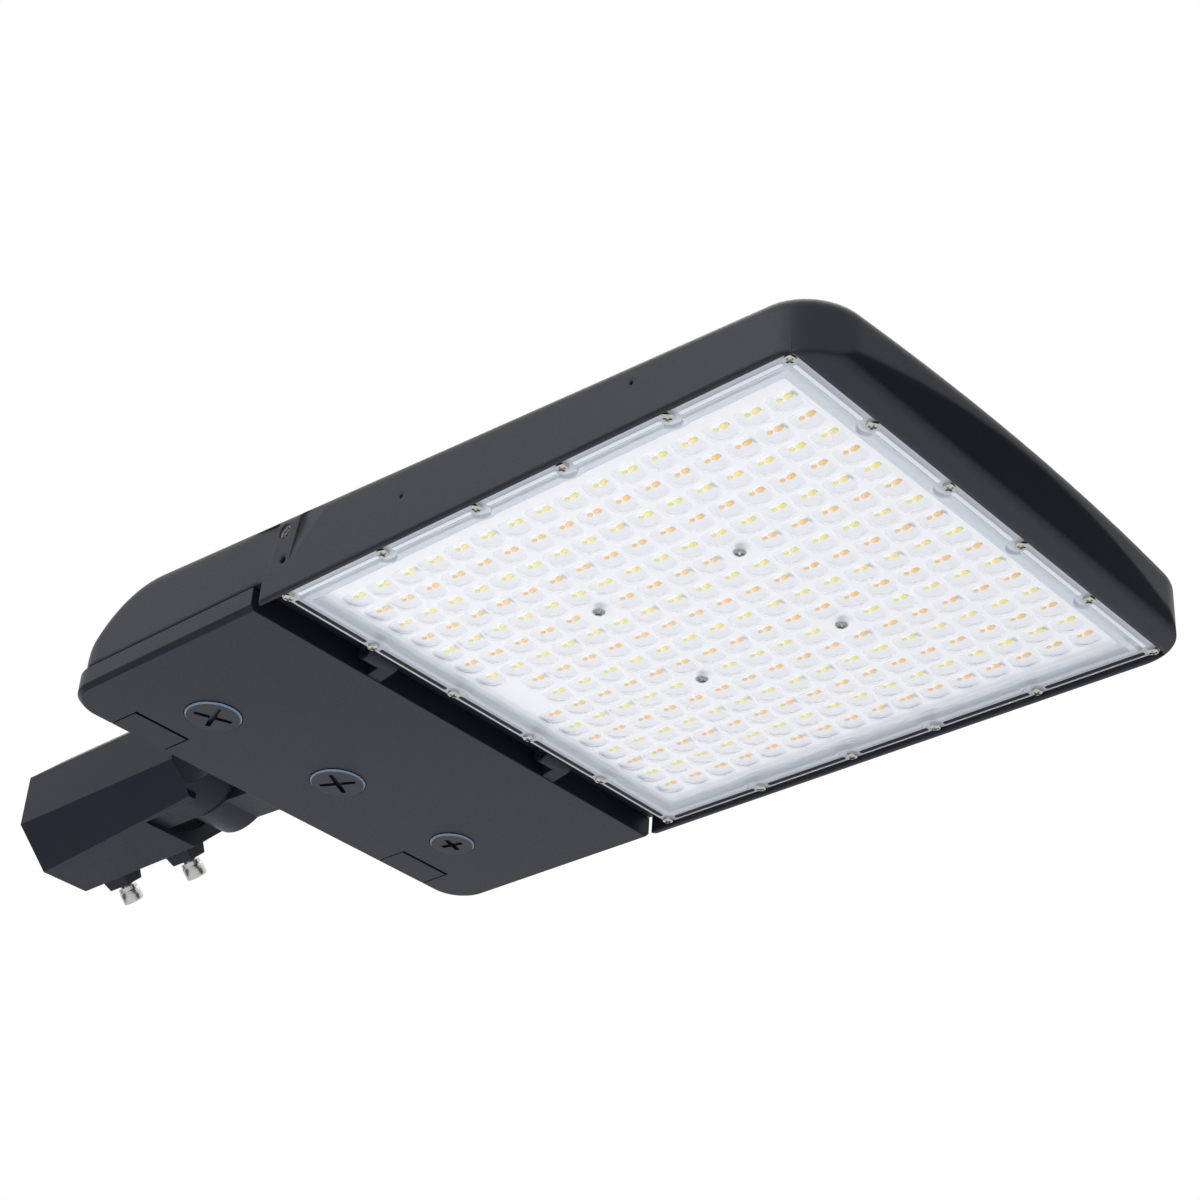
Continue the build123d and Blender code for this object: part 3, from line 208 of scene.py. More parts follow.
def powder_coat(name, shade, edge_round, sheen=0.3, plain=None):
    """Polyester powder, baked on die-cast aluminium. The eye gets a satin sheen, fine orange peel, faint clouds
    and edges rounded by so many millimetres, except near a plain place and its mirror image."""
    peel_size, peel_depth, cloud_size = 1.2, 0.05, 60.0  # millimetres
    plain_within, plain_until = 7.0, 9.0  # millimetres from the plain place
    material, tree, where = start_material(name)
    texture = {"Vector": where, "Scale": per_metre(peel_size), "Detail": 3.0, "Roughness": 0.6}
    peel = add_node(tree, "ShaderNodeTexNoise", texture).outputs["Fac"]
    texture = {"Vector": where, "Scale": per_metre(cloud_size), "Detail": 2.0}
    cloud = add_node(tree, "ShaderNodeTexNoise", texture).outputs["Fac"]
    tones = {"Factor": cloud, "A": shade, "B": shaded(shade, 1.15)}
    tone = add_node(tree, "ShaderNodeMix", tones, data_type="RGBA").outputs["Result"]
    edge = add_node(tree, "ShaderNodeBevel", {"Radius": edge_round * MM}, samples=8).outputs["Normal"]
    if plain is not None:
        half = add_node(tree, "ShaderNodeVectorMath", {0: where}, operation="ABSOLUTE").outputs["Vector"]
        away = add_node(tree, "ShaderNodeVectorMath", {0: half, 1: plain}, operation="DISTANCE")
        limits = {"From Min": plain_within * MM, "From Max": plain_until * MM}
        share = add_node(tree, "ShaderNodeMapRange", {"Value": away.outputs["Value"], **limits})
        flat = add_node(tree, "ShaderNodeNewGeometry").outputs["Normal"]
        normals = {"Factor": share.outputs["Result"], "A": flat, "B": edge}
        edge = add_node(tree, "ShaderNodeMix", normals, data_type="VECTOR").outputs["Result"]
    inputs = {"Base Color": tone, "IOR": 1.5, "Specular IOR Level": sheen}
    end_opaque(tree, peel, 0.2, peel_depth, (0.38, 0.5), inputs, edge)
    return material


def moulded_plastic(name, shade, grain, gloss):
    """Moulded, cut or printed polymer. The eye gets an eroded tool's grain of that size in millimetres, and a
    gloss that is a little uneven."""
    grain_depth = 0.04  # millimetres
    material, tree, where = start_material(name)
    texture = {"Vector": where, "Scale": per_metre(grain), "Detail": 4.0, "Roughness": 0.7}
    grit = add_node(tree, "ShaderNodeTexNoise", texture).outputs["Fac"]
    tones = {"Factor": grit, "A": shaded(shade, 0.94), "B": shade}
    tone = add_node(tree, "ShaderNodeMix", tones, data_type="RGBA").outputs["Result"]
    inputs = {"Base Color": tone, "IOR": 1.5, "Specular IOR Level": 0.3}
    end_opaque(tree, grit, 0.2, grain_depth, (gloss - 0.05, gloss + 0.06), inputs)
    return material


def formed_metal(name, shade, gloss):
    """Metal, headed, turned or drawn. The eye gets bright reflections, broken by fine tumbling scratches."""
    scratch_size, scratch_depth = 0.5, 0.02  # millimetres, coarser than real scratches, to show
    material, tree, where = start_material(name)
    texture = {"Vector": where, "Scale": per_metre(scratch_size), "Detail": 5.0, "Roughness": 0.75}
    scratch = add_node(tree, "ShaderNodeTexNoise", texture).outputs["Fac"]
    inputs = {"Base Color": shade, "Metallic": 1.0}
    end_opaque(tree, scratch, 0.12, scratch_depth, (gloss - 0.06, gloss + 0.1), inputs)
    return material


def clear_acrylic(name, shade, milk):
    """Clear acrylic, injection moulded. The eye gets a polished face with a faint ripple, and a share of milk
    that softens what lies behind it. Shadow and diffuse rays pass, so the lamps reach the board."""
    ripple_size, ripple_depth = 9.0, 0.1  # millimetres
    material, tree, where = start_material(name)
    texture = {"Vector": where, "Scale": per_metre(ripple_size), "Detail": 1.0}
    ripple = add_node(tree, "ShaderNodeTexNoise", texture).outputs["Fac"]
    relief = {"Height": ripple, "Strength": 0.08, "Distance": ripple_depth * MM}
    normal = add_node(tree, "ShaderNodeBump", relief).outputs["Normal"]
    inputs = {"Base Color": shade, "Roughness": 0.07, "IOR": 1.49, "Normal": normal}
    glass = add_node(tree, "ShaderNodeBsdfPrincipled", {**inputs, "Transmission Weight": 1.0 - milk})
    clear = add_node(tree, "ShaderNodeBsdfTransparent", {"Color": shade})
    path = add_node(tree, "ShaderNodeLightPath").outputs
    rays = {0: path["Is Shadow Ray"], 1: path["Is Diffuse Ray"]}
    passing = add_node(tree, "ShaderNodeMath", rays, operation="MAXIMUM").outputs["Value"]
    both = {0: passing, 1: glass.outputs["BSDF"], 2: clear.outputs["BSDF"]}
    mix = add_node(tree, "ShaderNodeMixShader", both)
    add_node(tree, "ShaderNodeOutputMaterial", {"Surface": mix.outputs["Shader"]})
    return material


def paint(material, *nodes):
    """Gives CAD nodes a finish in place of the plain one."""
    for node in nodes:
        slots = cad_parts[node].data.materials
        slots.clear()
        slots.append(material)


def new_object(name, data):
    """An object of that data in the scene."""
    made = bpy.data.objects.new(name, data)
    bpy.context.scene.collection.objects.link(made)
    return made


def make_piece(name, vertices, faces, material, body, slot, sharp=40.0):
    """A closed mesh object at the origin from points in metres and faces, riding on a body. Points that meet at
    poles and seams are joined, faces turn outward, and edges sharper than that many degrees stay crisp."""
    mesh = bpy.data.meshes.new(name)
    mesh.from_pydata(np.asarray(vertices).tolist(), [], [list(map(int, face)) for face in faces])
    work = bmesh.new()
    work.from_mesh(mesh)
    bmesh.ops.remove_doubles(work, verts=work.verts, dist=0.0005 * MM)
    bmesh.ops.recalc_face_normals(work, faces=work.faces)
    work.to_mesh(mesh)
    work.free()
    mesh.polygons.foreach_set("use_smooth", np.full(len(mesh.polygons), True))
    mesh.set_sharp_from_angle(angle=math.radians(sharp))
    mesh.materials.append(material)
    mesh.update()
    piece = new_object(name, mesh)
    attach(piece, body)
    return piece


def add_finish(piece, material, zones):
    """Gives a piece a second finish on the faces whose zone is 1."""
    piece.data.materials.append(material)
    piece.data.polygons.foreach_set("material_index", zones)


def angles(count, shift=0.0):
    """Angles of so many points round a circle, turned by a share of a step."""
    return (np.arange(count) + shift) * math.tau / count


def point_rows(x, y, z):
    """Rows of points from coordinates on a grid."""
    return np.stack(np.broadcast_arrays(x, y, z), axis=-1).reshape(-1, 3)


def turned(x, y, angle):
    """Flat coordinates turned by an angle in radians."""
    c, s = np.cos(angle), np.sin(angle)
    return x * c - y * s, x * s + y * c


def grid_faces(rows, columns, wrap_rows=False, wrap_columns=False):
    """Quads of a grid of rows by columns of points, closed round where asked."""
    here = np.arange(rows * columns).reshape(rows, columns)
    below, beside = np.roll(here, -1, axis=0), np.roll(here, -1, axis=1)
    quads = np.stack([here, below, np.roll(below, -1, axis=1), beside], axis=-1)
    return quads[: rows - (not wrap_rows), : columns - (not wrap_columns)].reshape(-1, 4)


def prism(outlines, heights):
    """Points of an upright prism on each outline between two heights, and the faces of one."""
    count = outlines.shape[-2]
    both = np.concatenate([outlines, outlines], axis=-2)
    ends = np.arange(2 * count).reshape(2, count).tolist()
    points = np.insert(both, 2, np.repeat(heights, count), axis=-1)
    return points, [*grid_faces(2, count, wrap_columns=True).tolist(), *ends]


def border(rows, columns):
    """Point numbers round the edge of a grid, in order."""
    here = np.arange(rows * columns).reshape(rows, columns)
    return np.concatenate([here[0], here[1:, -1], here[-1, -2::-1], here[-2:0:-1, 0]])


def between(loop, other):
    """Quads between two closed loops of point numbers."""
    return np.stack([loop, np.roll(loop, -1), np.roll(other, -1), other], axis=1)


def copies(shapes, faces, places):
    """One shape, or one for each place, moved to the places: points and faces of them all."""
    count = len(places)
    points = np.asarray(places)[:, None, :] + np.broadcast_to(shapes, (count, *np.shape(shapes)[-2:]))
    step = points.shape[1]
    moved = [[corner + n * step for corner in face] for n in range(count) for face in faces]
    return points.reshape(-1, 3), moved


def lens_plane():
    """Centre, half length, half width and rim face height of the lens panel."""
    low, high = node_box("lens_panel")
    centre, half = (low + high) / 2, (high - low) / 2
    return centre[:2], half[0], half[1], node_box("lens_screws")[0][2] + sizes().screw_height


def lit_cells():
    """Row and column numbers of all cells, and which of them hold a light."""
    rows, columns = np.meshgrid(np.arange(ROWS), np.arange(ROWS), indexing="ij")
    lit = np.full(rows.shape, True)
    lit[tuple(np.transpose(DARK_CELLS))] = False
    return rows, columns, lit


def light_places():
    """Places of every light on the board, and whether it is in a warm column."""
    centre = lens_plane()[0]
    rows, columns, lit = lit_cells()
    x = centre[0] + (MIDDLE - rows[lit]) * sizes().row_pitch
    y = centre[1] + (columns[lit] - MIDDLE) * sizes().column_pitch
    return point_rows(x, y, node_box("led_board")[0][2]), columns[lit] % 2 == 1


def both_ways(places):
    """Distances to both sides of a centre, in order."""
    return np.sort(np.concatenate([-places, places]))


def rim_screw_places():
    """Places of the screws round the rim, as offsets from the panel's centre."""
    _, half_x, half_y, _ = lens_plane()
    end, side = half_x - sizes().screw_inset, half_y - sizes().screw_inset
    along_x = [(x, s * side) for x in both_ways(np.array([*SIDE_SCREWS, end])) for s in (1, -1)]
    along_y = [(s * end, y) for y in both_ways(END_SCREWS) for s in (1, -1)]
    return np.array(along_x + along_y)


def lens_outline(inset, share):
    """Closed outline of the lens panel at an inset d: an oblong with half sizes a - d and b - d and corner
    radius max(r - d, r0). At each rim screw it moves in by share (sqrt(p^2 - s^2) - g), where s is the distance
    from the screw, p the pocket's radius and g the screw's distance from the ridge."""
    put = sizes()
    bend_steps = 6  # of a corner
    near = np.array([0.0, 1.6, 3.2, 4.4, 5.2, 5.7, 6.6, 8.0]) * MM  # points on both sides of a screw
    centre, half_x, half_y, _ = lens_plane()
    radius = max(put.corner - inset, put.corner_least)
    arc = np.linspace(-math.pi / 2, 0, bend_steps + 1)[1:-1]
    parts = []
    for turn in range(4):
        half, across, screws = ((half_x, half_y, SIDE_SCREWS), (half_y, half_x, END_SCREWS))[turn % 2]
        screws = both_ways(screws)
        start, end, fixed = half - put.corner, half - inset - radius, screws[-1] + near[-1]
        round_screws = (screws[:, None] + both_ways(near)).ravel()
        along = np.unique(np.concatenate([round_screws, [-start, start]]).round(7))
        far = np.maximum(abs(along) - fixed, 0) * (end - fixed) / (start - fixed)
        place = np.sign(along) * (np.minimum(abs(along), fixed) + far)
        gap = abs(along[:, None] - screws).min(axis=1)
        pocket = np.sqrt(np.clip(put.pocket**2 - gap**2, 0, None)) - (put.ridge_inset - put.screw_inset)
        edge = np.stack([place, inset + share * np.maximum(pocket, 0) - across], axis=1)
        hub = np.array([end, inset + radius - across])
        bend = hub + radius * np.stack([np.cos(arc), np.sin(arc)], axis=1)
        c, s = round(math.cos(turn * math.pi / 2)), round(math.sin(turn * math.pi / 2))
        parts.append(np.concatenate([edge, bend]) @ np.array([[c, s], [-s, c]]))
    return np.concatenate(parts) + centre


def swept_ring(insets, depths, shares=()):
    """Closed ring: a profile of insets and depths behind the rim's face, in millimetres, on the outline."""
    face = lens_plane()[3]
    loops = []
    for inset, depth, share in zip(insets, depths, shares or [0] * len(insets)):
        loops.append(np.insert(lens_outline(inset * MM, share), 2, face + depth * MM, axis=1))
    return np.concatenate(loops), grid_faces(len(loops), len(loops[0]), True, True)


def disc_grid(half_lines):
    """Square grid on lines at both sides of a centre, mapped to the unit disc by x = s sqrt(1 - t^2 / 2), with
    the lesser and the greater distance from the grid's middle lines."""
    line = np.concatenate([-np.array(half_lines)[::-1], [0.0], half_lines])
    s, t = np.meshgrid(line, line, indexing="ij")
    near, far = np.minimum(abs(s), abs(t)), np.maximum(abs(s), abs(t))
    return s * np.sqrt(1 - t**2 / 2), t * np.sqrt(1 - s**2 / 2), near, far


class AREALIGHT_OT_castings(bpy.types.Operator):
    """Finishes of the castings, the moulded pieces and the fasteners that keep their solids"""

    bl_idname = "arealight.castings"
    bl_label = "Castings and fittings"

    def execute(self, context):
        # Satin charcoal with narrow bright edges
        coat = powder_coat("polyester powder coat on die-cast aluminium", tint("coat"), 0.8)
        paint(coat, "driver_door", "knuckle_arm")
        # The same charcoal with less shine
        dull = powder_coat("matt polyester powder coat on die-cast aluminium", tint("coat"), 0.8, 0.2)
        paint(dull, "slip_fitter")
        # The same charcoal with broad soft edges, but not at the lens seat's front corners
        corner = tuple(np.abs(node_box("lens_panel")[1]))
        thick = powder_coat(
            "thick polyester powder coat on die-cast aluminium", tint("coat"), 4.0, plain=corner
        )
        paint(thick, "housing")
        # Dry dark grain, close to the coat beside it
        nylon = moulded_plastic("glass-filled nylon, moulded", tint("plug"), 0.7, 0.42)
        paint(nylon, "latch_left", "latch_right")
        # Bright metal with soft reflections
        steel = formed_metal("stainless steel, turned", tint("steel"), 0.22)
        paint(steel, "clamp_bolt_collars", "knuckle_bolt", "knuckle_washer", "hinge_pins", "arm_screws")
        paint(steel, "driver_screws", "latch_spring_left", "latch_spring_right")
        # Dull black without highlights
        sponge = moulded_plastic("silicone sponge, extruded", tint("strip"), 0.5, 0.6)
        paint(sponge, "arm_gasket", "door_seal", "plug_seals")
        # Grey metal with blurred reflections
        case = formed_metal("aluminium sheet, drawn", tint("case"), 0.4)
        paint(case, "led_driver", "surge_protector")
        # Plain black with a faint gloss
        black = moulded_plastic("black nylon, moulded", tint("black"), 0.6, 0.45)
        paint(black, "terminal_block", "output_switch", "colour_switch", "sensor_socket")
        # Waxy off-white
        white = moulded_plastic("white acetal, moulded", tint("white"), 0.6, 0.4)
        paint(white, "output_dial", "colour_dial")
        # Even white that throws the light back through the lens
        mask = moulded_plastic("white solder mask, printed", tint("board"), 0.8, 0.35)
        paint(mask, "led_board")
        return {"FINISHED"}


class AREALIGHT_OT_lens_panel(bpy.types.Operator):
    """Clear panel: a sunk field with one shell dome for each light, inside a swept rim"""

    bl_idname = "arealight.lens_panel"
    bl_label = "Lens panel"

    def field(self):
        """Shell over 16 by 16 cells. In a cell with square coordinates u and v, the dome's foot maps to a
        rounded oblong by x = a u sqrt(1 - k v^2), y = b v sqrt(1 - k u^2), and rises by h w^p with
        w = (1 - u^2) (1 - v^2). The inner face follows the dome, so the wall stays even."""
        put = sizes()
        foot, rounding, power = 0.94, 0.3, 1.4  # foot as a share of the cell, k and p
        follow, least_clear = 0.97, 0.06  # inner face's share of the rise, w where the polish starts
        half_steps = np.array([0.2, 0.42, 0.62, 0.8, foot])
        steps = np.concatenate([[-1.0], -half_steps[::-1], [0.0], half_steps])
        centre, half_x, half_y, face = lens_plane()
        line = np.concatenate([np.tile(steps, ROWS), [-1.0]])
        cell = np.concatenate([np.repeat(np.arange(ROWS), len(steps)), [ROWS]])
        s, t = np.meshgrid(line, line, indexing="ij")
        i, j = np.meshgrid(cell, cell, indexing="ij")
        lit = np.pad(lit_cells()[2][::-1, :], ((0, 1), (0, 1)))[i, j]
        inside = lit & (np.maximum(abs(s), abs(t)) <= foot)
        u, v = np.clip(s / foot, -1, 1), np.clip(t / foot, -1, 1)
        oval_x = put.dome_length / 2 * u * np.sqrt(1 - rounding * v**2)
        oval_y = put.dome_width / 2 * v * np.sqrt(1 - rounding * u**2)
        x = np.where(inside, oval_x, s * put.row_pitch / 2) + (i - MIDDLE) * put.row_pitch + centre[0]
        y = np.where(inside, oval_y, t * put.column_pitch / 2) + (j - MIDDLE) * put.column_pitch + centre[1]
        edge = put.rim_width + put.seam
        x[0, :], x[-1, :] = centre[0] - half_x + edge, centre[0] + half_x - edge
        y[:, 0], y[:, -1] = centre[1] - half_y + edge, centre[1] + half_y - edge
        crown = (1 - u**2) * (1 - v**2)
        rise = np.where(inside, put.dome_height * crown**power, 0.0)
        low = face + put.field_set
        front = point_rows(x, y, low - rise)
        back = point_rows(x, y, low + put.field_thick - follow * rise)
        count = len(line)
        skin, ring = grid_faces(count, count), border(count, count)
        faces = np.concatenate([skin, skin + len(front), between(ring, ring + len(front))])
        frost = ~(inside & (crown > least_clear)).ravel()[skin].all(axis=1)
        zones = np.concatenate([frost, frost, np.full(len(ring), True)])
        return np.concatenate([front, back]), faces, zones.astype(np.int32)

    def rim(self):
        """Flange with the screws, ridge with a pocket round each screw, slope down to the field."""
        put = sizes()
        foot, edge, sunk = put.ridge_inset / MM, put.rim_width / MM, put.field_set / MM
        insets = [0.7, 0, 0, 0.7, 6.3, foot, 7.7, 8.4, 9.0, 11.4, 12.2, 13.6, 15.0, edge, edge, 10.5, 10.5]
        depths = [3.0, 2.4, 0.6, 0, 0, 0, -0.5, -1.4, -1.6, -1.6, -1.3, 0.6, 2.1, sunk, 5.0, 5.0, 3.0]
        shares = [0, 0, 0, 0, 0.8, 1, 1, 1, 1, 0.4, 0.3, 0.1, 0, 0, 0, 0, 0]
        return swept_ring(insets, depths, shares)

    def execute(self, context):
        # Domes that show the phosphor sharply, between frosted valleys that blur the board
        polished = clear_acrylic("clear acrylic, injection moulded and polished", tint("lens"), 0.05)
        frosted = clear_acrylic("clear acrylic, moulded with a fine frost", tint("lens"), 0.3)
        points, faces, zones = self.field()
        piece = make_piece("lens_field", points, faces, polished, "head", "clear_lens")
        add_finish(piece, frosted, zones)
        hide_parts("lens_panel")
        # Cool grey haze where the panel is thick
        hazy = clear_acrylic("clear acrylic, moulded", tint("rim"), 0.32)
        piece = make_piece("lens_rim", *self.rim(), hazy, "head", "clear_lens")
        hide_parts("lens_panel")
        return {"FINISHED"}


class AREALIGHT_OT_seat_beads(bpy.types.Operator):
    """Beads of coat that round the front corners of the lens seat"""

    bl_idname = "arealight.seat_beads"
    bl_label = "Seat beads"

    def beads(self):
        """Upright rods at the lens panel's front corners: circles at two depths, closed by faces."""
        count, radius, inset = 16, 0.8 * MM, 0.15 * MM  # the inset is from the panel's corner
        ends = np.array([-1.8, 4.4]) * MM  # from the rim's face
        low, high = node_box("lens_panel")
        turn = angles(count)
        flat = radius * np.stack([np.cos(turn), np.sin(turn)], axis=1)
        x, face = high[0] - inset, lens_plane()[3]
        return copies(*prism(flat, ends), [(x, low[1] + inset, face), (x, high[1] - inset, face)])

    def execute(self, context):
        # The housing's charcoal, run into the corners
        coat = powder_coat("polyester powder coat in the seat's corners", tint("coat"), 0.3)
        make_piece("seat_corner_beads", *self.beads(), coat, "head", "powder_coat")
        return {"FINISHED"}


class AREALIGHT_OT_gasket(bpy.types.Operator):
    """Gasket behind the rim, and the white frame that lines the tray"""

    bl_idname = "arealight.gasket"
    bl_label = "Gasket and frame"

    def execute(self, context):
        # Dull pale grey behind the clear rim
        soft = moulded_plastic("silicone gasket, moulded", tint("gasket"), 0.6, 0.55)
        ring = swept_ring([0.5, 9.2, 9.2, 0.5], [3.3, 3.3, 4.5, 4.5])
        piece = make_piece("lens_gasket_ring", *ring, soft, "head", "silicone")
        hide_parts("lens_gasket")
        # Matt white that carries the board's light up to the rim
        film = moulded_plastic("white polyester film, die cut", tint("board"), 1.0, 0.5)
        ring = swept_ring([9.7, 10.2, 10.2, 13.5, 13.5, 9.7], [3.3, 3.3, 5.6, 5.6, 6.2, 6.2])
        make_piece("tray_frame", *ring, film, "head", "white_board")
        return {"FINISHED"}


class AREALIGHT_OT_strips(bpy.types.Operator):
    """Strips on the rim between its screws: dark at the rear and far sides as painted shade, and white at the
    others as a painted highlight
    """

    bl_idname = "arealight.strips"
    bl_label = "Rim strips"

    def strips(self, end, inset, width):
        """Flat oblongs with round ends at the rim's rear and far sides for an end of -1, or its front and near
        sides for 1: circles whose halves are drawn apart, at two depths."""
        count, end_gap, thick = 24, 6.2 * MM, 0.12 * MM  # the gap is from a screw's axis
        centre, half_x, half_y, face = lens_plane()
        turn = angles(count, 0.5)
        round_end = width / 2 * np.stack([np.cos(turn), np.sin(turn)], axis=1)
        loops = []
        for screws, half, across, along_x, side in (
            (END_SCREWS, half_y, half_x, False, end),
            (SIDE_SCREWS, half_x, half_y, True, -end),
        ):
            stops = both_ways(np.array([*screws, half - sizes().screw_inset]))
            middle, reach = (stops[1:] + stops[:-1]) / 2, np.diff(stops) / 2 - end_gap
            along = middle[:, None] + round_end[:, 0] + np.sign(round_end[:, 0]) * reach[:, None]
            over = side * np.broadcast_to(across - inset + round_end[:, 1], along.shape)
            loops.append(np.stack([along, over] if along_x else [over, along], axis=-1) + centre)
        shapes, faces = prism(np.concatenate(loops), [face - thick, face + thick / 2])
        return copies(shapes, faces, np.zeros((len(shapes), 3)))

    def execute(self, context):
        # Thin black lines: painted shade on the rear and far sides
        dark = moulded_plastic("sponge rubber strip, cut", tint("strip"), 0.6, 0.6)
        make_piece("dark_strips", *self.strips(-1, 3.5 * MM, 2.6 * MM), dark, "head", "silicone")
        # Pale lines, brighter than the rim round them: a painted highlight of the ridge on the front and near
        # sides
        pale = moulded_plastic("white silicone strip, cut", tint("bar"), 0.6, 0.5)
        make_piece("white_strips", *self.strips(1, 5.6 * MM, 2.2 * MM), pale, "head", "silicone")
        return {"FINISHED"}


class AREALIGHT_OT_lights(bpy.types.Operator):
    """Parts on the white board: a long and a short dab of phosphor for each light, and small chips"""

    bl_idname = "arealight.lights"
    bl_label = "Lights and chips"

    def dab(self, length, width, ahead, aside):
        """Low oval cushion on a polar grid, turned a little: along = r a cos(angle), over = r b sin(angle),
        lower towards its rim."""
        count, skew = 8, math.radians(-20.0)
        ring = np.array([0.0, 0.8, 1.0, 0.0])
        height = np.array([0.9, 0.7, 0.02, 0.02]) * MM
        turn = angles(count)
        along = ring[:, None] * np.cos(turn) * length / 2
        over = ring[:, None] * np.sin(turn) * width / 2
        x, y = turned(along, over, skew)
        points = point_rows(ahead + x, aside + y, -height[:, None])
        return points, grid_faces(len(ring), count, False, True)

    def chips(self, places):
        """Boxes of eight corners beside an uneven choice of the lights."""
        stride, cycle, kept = 7, 23, 5  # a light is chosen where its number, times 7, is under 5 modulo 23
        beside = np.array([4.6, 1.6, 0.0]) * MM  # from the light's centre
        half_sizes, foot, top = (0.7 * MM, 2.0 * MM), -0.02 * MM, -0.5 * MM
        corners = np.array([(-1, -1), (1, -1), (1, 1), (-1, 1)]) * half_sizes
        chosen = places[(np.arange(len(places)) * stride % cycle) < kept]
        return copies(*prism(corners, [foot, top]), chosen + beside)

    def execute(self, context):
        put = sizes()
        long_at, short_at = np.array([(0.7, 2.0), (-4.7, 2.7)]) * MM  # from the light's centre
        short_length, short_width = 0.54, 0.72  # as shares of the long dab's
        places, warm = light_places()
        long, faces = self.dab(put.dab_length, put.dab_width, *long_at)
        short, _ = self.dab(put.dab_length * short_length, put.dab_width * short_width, *short_at)
        shape = np.concatenate([long, short])
        both = np.concatenate([faces, faces + len(long)]).tolist()
        for name, node, chosen, shade, slot in (
            ("cool_lights", "cool_white_leds", ~warm, tint("cool"), "cool_phosphor"),
            ("warm_lights", "warm_white_leds", warm, tint("warm"), "warm_phosphor"),
        ):
            # Yellow or orange gel with a wet gloss
            gel = moulded_plastic(f"phosphor in silicone, dispensed, {name}", shade, 0.3, 0.3)
            piece = make_piece(name, *copies(shape, both, places[chosen]), gel, "head", slot)
            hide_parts(node)
        # Small grey specks
        fired = moulded_plastic("ceramic chips, fired", tint("chip"), 0.3, 0.4)
        make_piece("board_chips", *self.chips(places), fired, "head", "white_board")
        return {"FINISHED"}


class AREALIGHT_OT_screws(bpy.types.Operator):
    """Pan-head screws with a cross recess round the lens and in its field"""

    bl_idname = "arealight.screws"
    bl_label = "Lens screws"

    def heads(self, places, seat):
        """Disc grid raised to a pan crown h (1 - 0.25 q^4) with q the radius as a share of the head's, sunk
        where one coordinate is within the recess's half width and the other within its reach. Past the head it
        drops to a washer, and is closed down to the seat."""
        put = sizes()
        arm, reach, wall, brow = 0.2, 0.68, 0.04, 0.97  # recess and crown's edge, as shares of the head
        washer, depth, twist = 0.3 * MM, 1.6 * MM, 1.13  # the twist is in radians from one screw to the next
        head = put.screw_head / put.screw_washer
        lines = np.array([arm, arm + wall, 0.45, reach, reach + wall, 0.85, brow, 1.0])
        x, y, near, far = disc_grid([*(head * lines), 1.0])
        q, near, far = np.hypot(x, y) / head, near / head, far / head
        crown = np.where(far < (brow + 1) / 2, put.screw_height * (1 - 0.25 * q**4), washer)
        recess = (near < arm + wall / 2) & (far < reach + wall / 2)
        sink = np.where(recess, depth * (1 - 0.5 * far), 0.0)
        top = point_rows(x * put.screw_washer, y * put.screw_washer, sink - crown)
        skin, ring = grid_faces(*x.shape), border(*x.shape)
        shape = np.concatenate([top, top[ring] * (1, 1, 0)])
        foot = len(top) + np.arange(len(ring))
        faces = [*skin.tolist(), *between(ring, foot).tolist(), foot.tolist()]
        across, along = turned(shape[:, 0], shape[:, 1], np.arange(len(places))[:, None] * twist)
        spun = point_rows(across, along, shape[:, 2]).reshape(len(places), -1, 3)
        return copies(spun, faces, np.insert(places, 2, seat, axis=1))

    def execute(self, context):
        centre, _, _, face = lens_plane()
        field_places = np.array([(x, y) for x in (-1, 1) for y in (-1, 1)]) * FIELD_SCREWS
        field_seat = face + sizes().field_set + sizes().field_boss
        # Bright dots round the rim; greyer ones under the field, their steel darkened as painted shade
        bright = formed_metal("stainless steel, cold headed and polished", tint("steel"), 0.16)
        grey = formed_metal("stainless steel, cold headed", tint("screw"), 0.2)
        for name, node, places, seat, steel in (
            ("rim_screw_heads", "lens_screws", rim_screw_places(), face, bright),
            ("field_screw_heads", "lens_centre_screws", field_places, field_seat, grey),
        ):
            piece = make_piece(name, *self.heads(places + centre, seat), steel, "head", "stainless")
            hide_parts(node)
        return {"FINISHED"}


